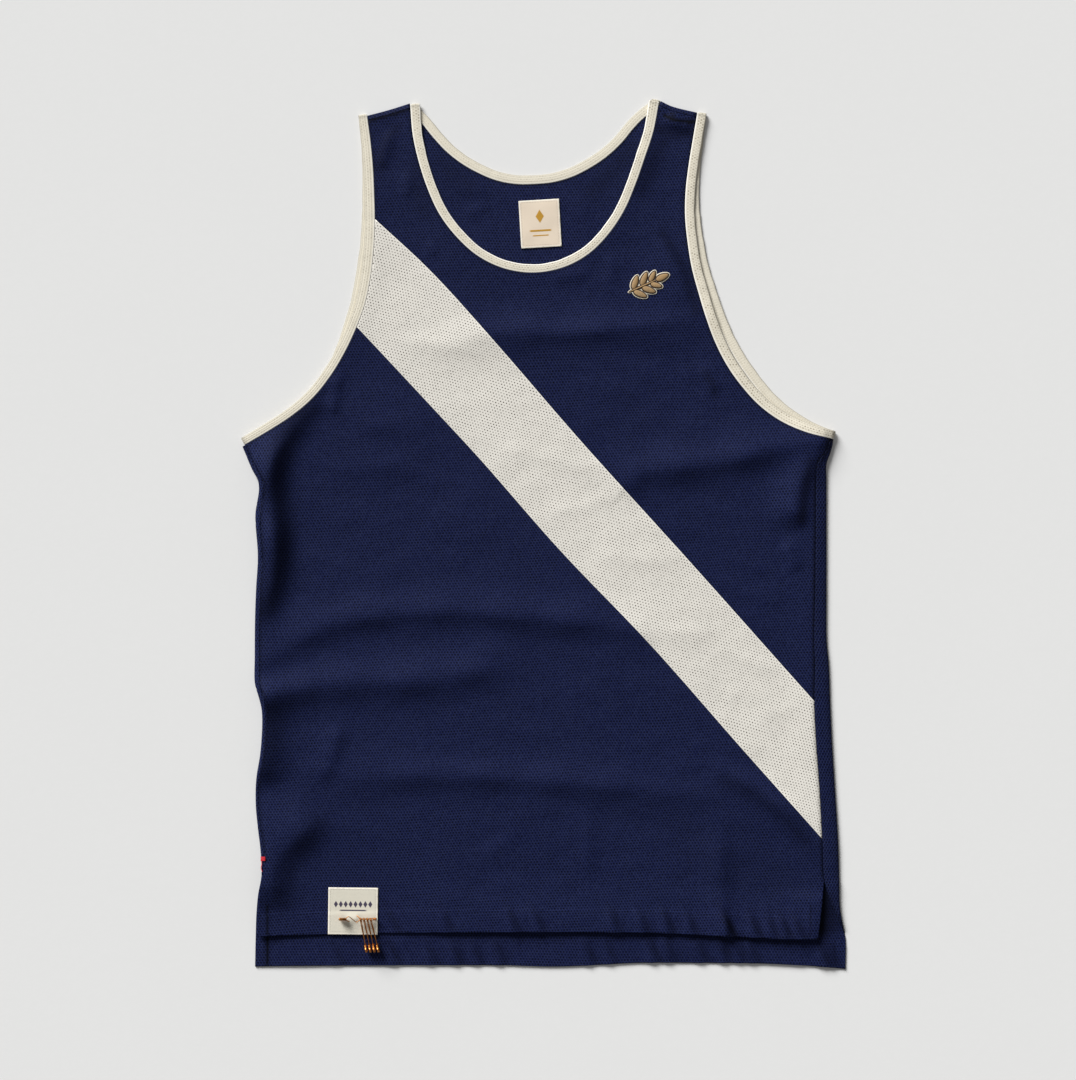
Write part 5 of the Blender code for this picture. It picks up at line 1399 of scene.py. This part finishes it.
class SINGLET_OT_front_panels(bpy.types.Operator):
    """Lay the front's upper panel, its sash and its lower panel in their folds"""
    bl_idname = "singlet.front_panels"
    bl_label = "Front panels"

    def execute(self, context):
        inset = GAP / 2
        left_high, left_low = SASH_TOP[0][1], SASH_BOTTOM[0][1]
        right_high, right_low = SASH_TOP[-1][1], SASH_BOTTOM[-1][1]

        def left_armhole(high, low=-math.inf):
            return moved_left(part_between(LEFT_ARMHOLE_EDGE, high, low), inset)

        def right_seam(high, low):
            return moved_left(part_between(RIGHT_SEAM, high, low)[::-1], 2 * inset)

        upper = [moved_left(SASH_TOP_SEAM, inset), right_seam(math.inf, right_high),
                 moved_left(part_between(RIGHT_ARMHOLE_EDGE, RIGHT_STRAP_TOP)[::-1], inset),
                 moved_left(shoulder_seam("right")[::-1], 2 * inset),
                 moved_left(FRONT_NECK_EDGE[::-1], inset),
                 moved_left(shoulder_seam("left")[::-1], 2 * inset),
                 left_armhole(LEFT_STRAP_TOP, left_high)]
        sash = [moved_left(SASH_BOTTOM_SEAM, inset), right_seam(right_high, right_low),
                moved_left(SASH_TOP_SEAM[::-1], inset), left_armhole(left_high, left_low)]
        lower = [FRONT_HEM_EDGE, smooth_curve(RIGHT_SLIT_EDGE)[::-1],
                 right_seam(right_low, RIGHT_SLIT_TOP),
                 moved_left(SASH_BOTTOM_SEAM[::-1], inset), left_armhole(left_low),
                 moved_left(LEFT_SEAM, 2 * inset), smooth_curve(LEFT_SLIT_EDGE)]
        bound = [LEFT_ARMHOLE_EDGE, RIGHT_ARMHOLE_EDGE, FRONT_NECK_EDGE, LEFT_SEAM, RIGHT_SEAM]
        seams = [SASH_TOP_SEAM, SASH_BOTTOM_SEAM]
        cream = mesh_knit("cream_knit", tuple(context.scene.singlet_knit.cream),
                          linear(80, 74, 66), 0.74, 0.1, 0.4, linear(244, 240, 232),
                          edge=linear(240, 237, 228))
        navy = navy_finish("navy_knit_front", 0.35)
        grooves = [smooth_curve(line) for _, _, line in SHOULDER_GROOVES]
        hem = groove_lines(FRONT_SLIT_GROOVES) + hem_lines(*FRONT_TURN_UP)
        # painted shade: hollows, grooves at the shoulders, the slits and the right seam, and
        # beside the puckers
        painted_shade = (FRONT_HOLLOWS + SHOULDER_GROOVES + FRONT_SLIT_GROOVES
                + [(*SIDE_GROOVE, RIGHT_SEAM[::SIDE_GROOVE_READS])])
        marks = {"hem": stitch_lines(*FRONT_TURN_UP, FRONT_SLIT_STITCHES),
                 "painted_shade": hollows(painted_shade, FRONT_PUCKERS, *FRONT_TURN_UP)}
        for part, edges, finish, slot, grain, sewn, lines in (
                ("upper", upper, navy, "navy_mesh", 2.5, bound, grooves),
                ("sash", sash, cream, "cream_mesh", -16.0, seams, ()),
                ("lower", lower, navy, "navy_mesh", 2.5, bound, hem)):
            outline, _ = join_edges(edges)
            piece = sheet_of_cloth(f"front_{part}_cloth", outline,
                                   fill_points(outline, FRONT_STEP, lines), front_mid,
                                   front_thickness, finish, on_the_grain(grain),
                                   {"sewn": distance_to(sewn), **marks})
            laid(piece, f"front_{part}_panel")
        return {"FINISHED"}


# ------------------------------------------------------------------ bindings
def band(name, edge, widths, side, heights, end_heights, finish):
    """A folded binding along a cut edge, on its left (side 1) or right (side -1).

    Its ends roll round the fold, towards the binding of the other panel, whose heights at
    its start and its end are end_heights. Returns it and its length in millimetres."""
    count = len(edge)
    share, seed, shortest, longest = BAND_WIDTH_WAVES
    widths = along(widths, count)
    widths = widths * (1 + share * waves_over(edge, seed, shortest, longest))
    across = left_normals(edge) * side
    middle = edge[:, :2] + across * (widths / 2 + GAP / 2)[:, None]
    rise, seed, shortest, longest = BAND_HEIGHT_WAVES
    heights = heights + rise * abs(waves_over(edge, seed, shortest, longest))

    def rolled_end(end, before):
        """The quarter turn of an end, from its last flat place to the fold."""
        ahead = unit(middle[end] - middle[before])
        rise = end_heights[end] - heights[end]
        radius = (abs(rise) - GAP) / 2
        turn = math.copysign(radius, rise)
        rows = []
        for angle in np.radians(range(0, 91, 15)):
            place = middle[end] + ahead * radius * (math.sin(angle) - 1)
            rows.append((*place, heights[end] + turn * (1 - math.cos(angle)), end))
        return rows

    clear = math.ceil(BAND_END / EDGE_STEP)
    rows = (rolled_end(0, 1)[::-1]
            + [(*middle[k], heights[k], k) for k in range(1 + clear, count - 1 - clear)]
            + rolled_end(-1, -2))
    centres = np.array([row[:3] for row in rows])
    picks = [row[3] for row in rows]
    sideways = np.column_stack((across[picks], np.zeros(len(rows))))
    up = np.cross(unit(np.gradient(centres, axis=0)), sideways) * side
    run = np.concatenate(([0.0], np.cumsum(np.linalg.norm(np.diff(centres, axis=0), axis=1))))

    angles = np.linspace(0, 2 * math.pi, BAND_POINTS, endpoint=False)
    section = [np.sign(wave) * abs(wave) ** (2 / BAND_SQUARENESS)
               for wave in (np.cos(angles), np.sin(angles))]
    bm = bmesh.new()
    tip = bm.verts.layers.float.new("tip")
    loops, chart_of = [], {}
    for k in range(len(rows)):
        loop = []
        for sx, sz in zip(*section):
            vert = bm.verts.new(centres[k] + sideways[k] * sx * widths[picks[k]] / 2
                                + up[k] * sz * BAND_THICK / 2)
            vert[tip] = min(run[k], run[-1] - run[k])
            chart_of[vert] = Vector((run[k], (sx + 1) / 2 * BAND_CHART))
            loop.append(vert)
        loops.append(loop)
    for here, there in zip(loops, loops[1:]):
        for k in range(BAND_POINTS):
            n = (k + 1) % BAND_POINTS
            bm.faces.new((here[k], here[n], there[n], there[k]))
    bm.faces.new(loops[0])
    bm.faces.new(loops[-1][::-1])
    bmesh.ops.recalc_face_normals(bm, faces=bm.faces)
    chart_cloth(bm, chart_of.get)
    return mesh_object(name, bm, finish), run[-1]


class SINGLET_OT_bindings(bpy.types.Operator):
    """Fold the bindings round the neck and both armholes"""
    bl_idname = "singlet.bindings"
    bl_label = "Bindings"

    def execute(self, context):
        for name, side, front_edge, back_edge, widths, back_widths, looks in (
                ("neck", 1, FRONT_NECK_EDGE, BACK_NECK_EDGE, FRONT_NECK_WIDTHS,
                 BACK_NECK_WIDTHS, (("neck_front_knit", 0.3, 0.6, 0.15, True),
                                    ("neck_back_knit", 0.3, 0.25, 0.2, False))),
                ("left_armhole", -1, LEFT_ARMHOLE_EDGE, LEFT_BACK_ARMHOLE_EDGE,
                 LEFT_BAND_WIDTHS, LEFT_BAND_WIDTHS,
                 (("left_arm_knit", 0.7, 0.35, 0.1, False),
                  ("left_arm_back_knit", 0.6, 0.1, 0.2, False))),
                ("right_armhole", 1, RIGHT_ARMHOLE_EDGE, RIGHT_BACK_ARMHOLE_EDGE,
                 RIGHT_BAND_WIDTHS, RIGHT_BAND_WIDTHS,
                 (("right_arm_knit", 0.25, 0.7, 0.15, False),
                  ("right_arm_back_knit", 0.15, 0.2, 0.5, False)))):
            front = front_mid(front_edge[:, :2])
            back = np.full(len(back_edge), BACK_BAND_REST)
            for half, edge, wide, heights, other, look, under in (
                    ("front", front_edge, widths, front, back, looks[0], "back_cloth"),
                    ("back", back_edge, back_widths, back, front, looks[1], "floor")):
                piece, length = band(f"{name}_band_{half}", edge, wide, side, heights, other,
                                     binding_knit(*look))
                declare(piece, "garment", f"{name}_binding_{half}")
                width = (BAND_CHART + BAND_THICK) * MM
                length * MM
                width * length * MM * BAND_FULLNESS
        return {"FINISHED"}


# ------------------------------------------------------------------ labels
def label_outline(x, y, width, height, degrees):
    """A label's turned outline, and the way back from plan points to its own axes."""
    corners = np.array([(-1, -1), (1, -1), (1, 1), (-1, 1), (-1, -1)]) * (width / 2, height / 2)
    around = np.vstack([resample(corners[k:k + 2], LABEL_EDGE_STEP)[:-1] for k in range(4)])
    return spun(around, degrees) + (x, y), lambda points: spun(points - (x, y), -degrees)


def over_tunnel(points):
    """How far the hem label rises over the holder pin's lower arm."""
    middle, flat, end_slope, side_slope, rise = TUNNEL
    past = np.maximum(abs(points[:, 0] - middle) - flat, 0.0) / end_slope
    beside = (points[:, 1] - HOLDER_AT[1]) / side_slope
    return rise * np.exp(-past ** 2 - beside ** 2)


class SINGLET_OT_labels(bpy.types.Operator):
    """Sew the neck label inside the back and the hem label on the front"""
    bl_idname = "singlet.labels"
    bl_label = "Labels"

    def execute(self, context):
        cloth = cloth_thickness()
        trim = context.scene.singlet_trim
        mark = tuple(trim.mark)
        ink = linear(72, 66, 84)
        row = [("diamond", x, 5.6, 1.7, 2.7, ink) for x in range(-14, 15, 4)]
        for node, colour, box, under, heights, marks in (
                ("neck_label", trim.label, NECK_LABEL, "back_cloth",
                 lambda p: back_mid(p) + cloth + LABEL_GAP,
                 [("diamond", 0, 6.0, 3.4, 5.4, mark), ("bar", 0, -5.6, 8.6, 0.8, mark),
                  ("bar", 0, -9.6, 6.4, 0.5, mark)]),
                ("hem_label", trim.hem_label, HEM_LABEL, "front_lower_cloth",
                 lambda p: front_top(p) + cloth / 2 + LABEL_GAP + over_tunnel(p),
                 [*row, ("bar", 0, 0.6, 10.6, 0.55, ink)])):
            outline, own = label_outline(*box)
            edge = np.vstack((outline, outline[:1]))
            piece = sheet_of_cloth(f"{node}_cloth", outline, fill_points(outline, LABEL_STEP),
                                   heights, lambda p: np.full(len(p), LABEL_THICK * cloth),
                                   woven_label(f"{node}_cloth_weave", tuple(colour), marks),
                                   own, {"sewn": distance_to([edge])})
            laid(piece, node)
        return {"FINISHED"}


# ------------------------------------------------------------------ embroidery
def sprig_leaves():
    """Root, tip and width of each leaf, with the stem along +X, and the stem's own."""
    length, width = SPRIG_STEM
    heel = np.array((LEAF_HEEL, 0.0))
    leaves = []
    for sign in (-1, 1):
        for start, reach, leaf, degrees in SPRIG_LEAVES:
            turn = math.radians(degrees)
            root = np.array((start, sign * width / 2))
            tip = root + (reach * math.cos(turn) + LEAF_HEEL, sign * reach * math.sin(turn))
            leaves.append((root + heel, tip, leaf))
    tip_length, tip_width = SPRIG_TIP_LEAF
    end = length - TIP_OVERLAP
    leaves.append((np.array((end, 0)), np.array((length + tip_length - TIP_OVERLAP, 0)),
                   tip_width))
    leaves.append((np.array((0.0, 0)), np.array((length - STEM_END, 0)), width))
    return leaves


def on_the_chest(points):
    """Points of the sprig's own axes, turned and moved to its place."""
    middle = (SPRIG_STEM[0] + SPRIG_TIP_LEAF[0] - TIP_OVERLAP) / 2
    return spun(np.asarray(points) - (middle, 0.0), SPRIG_TURN) + SPRIG_CENTRE


def satin_leaves(name, leaves, swell, thick, lift, finish):
    """Padded satin leaves, each from a sphere drawn out from root to tip."""
    bm = bmesh.new()
    chart = bm.loops.layers.uv.new("cloth")
    for root, tip, width in leaves:
        made = bmesh.ops.create_uvsphere(bm, u_segments=14, v_segments=12, radius=1.0,
                                         matrix=Matrix.Rotation(math.pi / 2, 4, "Y"))
        verts = made["verts"]
        own = {vert: vert.co.copy() for vert in verts}
        length = np.linalg.norm(tip - root)
        ahead = (tip - root) / length
        aside = np.array((-ahead[1], ahead[0]))
        plan = np.array([(root + tip) / 2 + ahead * own[v].x * (length / 2 + swell)
                         + aside * own[v].y * (width / 2 + swell) * (1 - LEAF_TAPER * own[v].x)
                         for v in verts])
        plan = on_the_chest(plan)
        ground = front_top(plan) + lift
        for vert, place, height in zip(verts, plan, ground):
            vert.co = (*place, height + (own[vert].z * 0.5 + 0.5) * thick)
        for face in {face for vert in verts for face in vert.link_faces}:
            for loop in face.loops:
                at = own[loop.vert]
                loop[chart].uv = Vector((at.x * length / 2, abs(at.y) * width / 2)) * MM
    bmesh.ops.recalc_face_normals(bm, faces=bm.faces)
    return mesh_object(name, bm, finish)


class SINGLET_OT_sprig(bpy.types.Operator):
    """Embroider the sprig on the chest: a cream border and raised gold leaves"""
    bl_idname = "singlet.sprig"
    bl_label = "Chest sprig"

    def execute(self, context):
        leaves = sprig_leaves()
        gold = tuple(context.scene.singlet_trim.gold)
        for name, swell, thick, lift, thread, colour, pitch, dark in (
                ("sprig_border", SPRIG_BORDER, 0.7, 0.05, "cream_thread",
                 linear(232, 224, 204), 0.5, 0.15),
                ("sprig_ground", 0.5 * SPRIG_BORDER, 0.95, 0.08, "brown_thread",
                 linear(58, 40, 28), 0.5, 0.3),
                ("sprig_leaves", -0.25, 1.3, 0.1, "gold_satin", gold, 0.8, 0.45)):
            piece = satin_leaves(name, leaves, swell, thick, lift,
                                 satin_thread(thread, colour, pitch, dark))
            declare(piece, "garment", "chest_sprig")
        return {"FINISHED"}


def thread_curve(name, paths, radius, finish):
    """Round thread along some paths of points in millimetres."""
    curve = bpy.data.curves.new(name, "CURVE")
    curve.dimensions = "3D"
    curve.bevel_depth = radius * MM
    curve.bevel_resolution = 3
    curve.use_fill_caps = True
    for path in paths:
        spline = curve.splines.new("POLY")
        spline.points.add(len(path) - 1)
        for point, place in zip(spline.points, path):
            point.co = (*(Vector(place) * MM), 1.0)
        spline.use_smooth = True
    curve.materials.append(finish)
    piece = bpy.data.objects.new(name, curve)
    bpy.context.scene.collection.objects.link(piece)
    return piece


class SINGLET_OT_bar_tack(bpy.types.Operator):
    """Sew the red bar tack at the top of the left slit, with its loose thread"""
    bl_idname = "singlet.bar_tack"
    bl_label = "Bar tack"

    def execute(self, context):
        x, y, width, height = BAR_TACK
        across, up = width - 2 * THREAD_RADIUS, height - 2 * THREAD_RADIUS
        turns = np.arange(2 * BAR_TACK_TURNS + 1)
        zigzag = np.column_stack((x - width / 2 + THREAD_RADIUS + across * (turns % 2),
                                  y - height / 2 + THREAD_RADIUS + up * turns / turns[-1]))
        rails = [np.array([(x + at, y - height / 2), (x + at, y + height / 2)])
                 for at in BAR_TACK_RAILS]
        tail = smooth_curve([(x + aside, y + down) for aside, down in LOOSE_THREAD],
                            LOOSE_STEP)
        plans = [(resample(rail, THREAD_STEP), THREAD_RADIUS) for rail in rails]
        plans += [(resample(zigzag, THREAD_STEP), 2 * THREAD_RADIUS),
                  (tail, LOOSE_LIFT)]
        paths = [np.column_stack((plan, front_top(plan) + lift)) for plan, lift in plans]
        piece = thread_curve("bar_tack_thread", paths, THREAD_RADIUS, twisted_thread(
            "red_thread_twist", tuple(context.scene.singlet_trim.red)))
        declare(piece, "garment", "side_bar_tack")
        return {"FINISHED"}


# ------------------------------------------------------------------ safety pins
def pin_wire_points(length, bend, dip):
    """A pin's wire in its own frame: u along the pin from its coil, v along the coil's axis,
    w across the pin. Lower arm, coil, upper arm; the arms may cross in a bend, and the lower
    one dip."""
    arm_end = length - CAP_END
    middle = (CAP_ARM_SPREAD + COIL_RADIUS) / 2
    if bend:
        arm = [(u, bend * aside, dip * down) for u, aside, down in ARM_BEND]
    else:
        arm = [(length / 2, HALF_COIL / 2, 0.0)]
    coil = []
    count = int(COIL_TURNS * COIL_POINTS_PER_TURN)
    for k in range(count + 1):
        angle = -math.pi / 2 - 2 * math.pi * COIL_TURNS * k / count
        coil.append((COIL_RADIUS * math.cos(angle), HALF_COIL * (2 * k / count - 1),
                     COIL_RADIUS * math.sin(angle)))
    ends = [(arm_end, 0.0, CAP_ARM_SPREAD), (arm_end - ARM_STRAIGHT, 0.0, CAP_ARM_SPREAD)]
    lower = ([(u, v, -w) for u, v, w in ends]
             + [(u, -v, -middle - down) for u, v, down in reversed(arm)] + coil[:1])
    upper = coil[-1:] + [(u, v, middle) for u, v, _ in arm] + ends[::-1]
    return np.vstack((smooth_curve(lower, WIRE_STEP), coil[1:-1],
                      smooth_curve(upper, WIRE_STEP)))


def upper_arm(length, distance):
    """Place on a pin's upper arm at a distance from its coil, in the pin's own frame."""
    share = distance / (length / 2)
    return Vector((distance, HALF_COIL * (1 - share / 2),
                   COIL_RADIUS + (CAP_ARM_SPREAD - COIL_RADIUS) / 2 * share))


def pin_frame(origin, along_pin, across):
    """Frame of a pin in millimetres, from its coil's middle and two directions."""
    u = along_pin.normalized()
    v = across.cross(u).normalized()
    return Matrix.Translation(origin) @ Matrix((u, v, u.cross(v))).transposed().to_4x4()


def safety_pin(name, place, length, body, bend=0.0, dip=0.0):
    """A closed brass pin: a wire with a coil, and a pressed cap over both its ends."""
    path = [place @ Vector(p) for p in pin_wire_points(length, bend, dip)]
    wire = thread_curve(f"{name}_brass_wire", [path], WIRE_RADIUS, brass())
    cap_length, cap_width, cap_thick = CAP
    bm = bmesh.new()
    made = bmesh.ops.create_cube(bm, size=1.0)
    bmesh.ops.scale(bm, vec=(cap_length, cap_thick, cap_width), verts=made["verts"])
    mouth = next(face for face in bm.faces if face.normal.x < -0.9)
    for vert in mouth.verts:
        vert.co.z *= CAP_TAPER
    bmesh.ops.bevel(bm, geom=[e for e in bm.edges if mouth not in e.link_faces],
                    offset=CAP_ROUNDING, offset_type="OFFSET", affect="EDGES", segments=3,
                    profile=0.5, material=-1)
    mouth = min(bm.faces, key=lambda face: face.calc_center_median().x)
    bmesh.ops.inset_region(bm, faces=[mouth], thickness=CAP_WALL, depth=0.0)
    bmesh.ops.translate(bm, verts=mouth.verts, vec=(CAP_HOLLOW * cap_length, 0, 0))
    bmesh.ops.transform(bm, matrix=place @ Matrix.Translation(
        (length - cap_length / 2, 0, 0)), verts=bm.verts)
    bmesh.ops.recalc_face_normals(bm, faces=bm.faces)
    cap = mesh_object(f"{name}_brass_cap", bm, brass())
    declare(wire, body, f"{name}_wire")
    declare(cap, body, f"{name}_cap")


class SINGLET_OT_safety_pins(bpy.types.Operator):
    """Fasten the holder pin through the hem label and hang four pins on it"""
    bl_idname = "singlet.safety_pins"
    bl_label = "Safety pins"

    def execute(self, context):
        tilt, droop = math.radians(HOLDER_TILT), math.radians(HANGING_DROOP)
        up = Vector((0.0, 0.0, 1.0))
        holder = pin_frame(Vector(HOLDER_AT), Vector((-math.cos(tilt), 0.0, math.sin(tilt))),
                           up)
        safety_pin("holder_pin", holder, HOLDER_LENGTH, "garment", *HOLDER_BEND)
        for k, degrees in enumerate(HANGING_FAN):
            pivot = holder @ upper_arm(HOLDER_LENGTH, HANGING_FIRST + k * HANGING_PITCH)
            fan = math.radians(degrees)
            ahead = Vector((math.sin(fan) * math.cos(droop),
                            -math.cos(fan) * math.cos(droop), -math.sin(droop)))
            safety_pin(f"hanging_pin_{k + 1}", pin_frame(pivot, ahead, up), HANGING_LENGTH,
                       f"pin_{k + 1}")
        return {"FINISHED"}


# ------------------------------------------------------------------ add-on
GROUPS = {"singlet_cloth": ClothSettings, "singlet_knit": KnitSettings,
          "singlet_trim": TrimSettings, "singlet_pins": PinSettings,
          "singlet_stage": StageSettings}
OPERATORS = (SINGLET_OT_stage, SINGLET_OT_back_panel, SINGLET_OT_front_panels,
             SINGLET_OT_bindings, SINGLET_OT_labels, SINGLET_OT_sprig, SINGLET_OT_bar_tack,
             SINGLET_OT_safety_pins)


class SINGLET_PT_sidebar(bpy.types.Panel):
    """The singlet's settings and the steps that make it"""
    bl_idname = "SINGLET_PT_sidebar"
    bl_label = "Running Singlet"
    bl_space_type = "VIEW_3D"
    bl_region_type = "UI"
    bl_category = "Singlet"

    def draw(self, context):
        for name, group in GROUPS.items():
            box = self.layout.box()
            box.label(text=name.replace("_", " ").capitalize())
            for setting in group.__annotations__:
                box.prop(getattr(context.scene, name), setting)
        for operator in OPERATORS:
            self.layout.operator(operator.bl_idname)


def register():
    for group in GROUPS.values():
        bpy.utils.register_class(group)
    for name, group in GROUPS.items():
        setattr(bpy.types.Scene, name, PointerProperty(type=group))
    for thing in (*OPERATORS, SINGLET_PT_sidebar):
        bpy.utils.register_class(thing)


def unregister():
    for thing in reversed((*OPERATORS, SINGLET_PT_sidebar)):
        bpy.utils.unregister_class(thing)
    for name in GROUPS:
        delattr(bpy.types.Scene, name)
    for group in reversed(list(GROUPS.values())):
        bpy.utils.unregister_class(group)


def main():
    register()
    for operator in OPERATORS:
        group, name = operator.bl_idname.split(".")
        getattr(getattr(bpy.ops, group), name)()


if __name__ == "__main__":
    main()
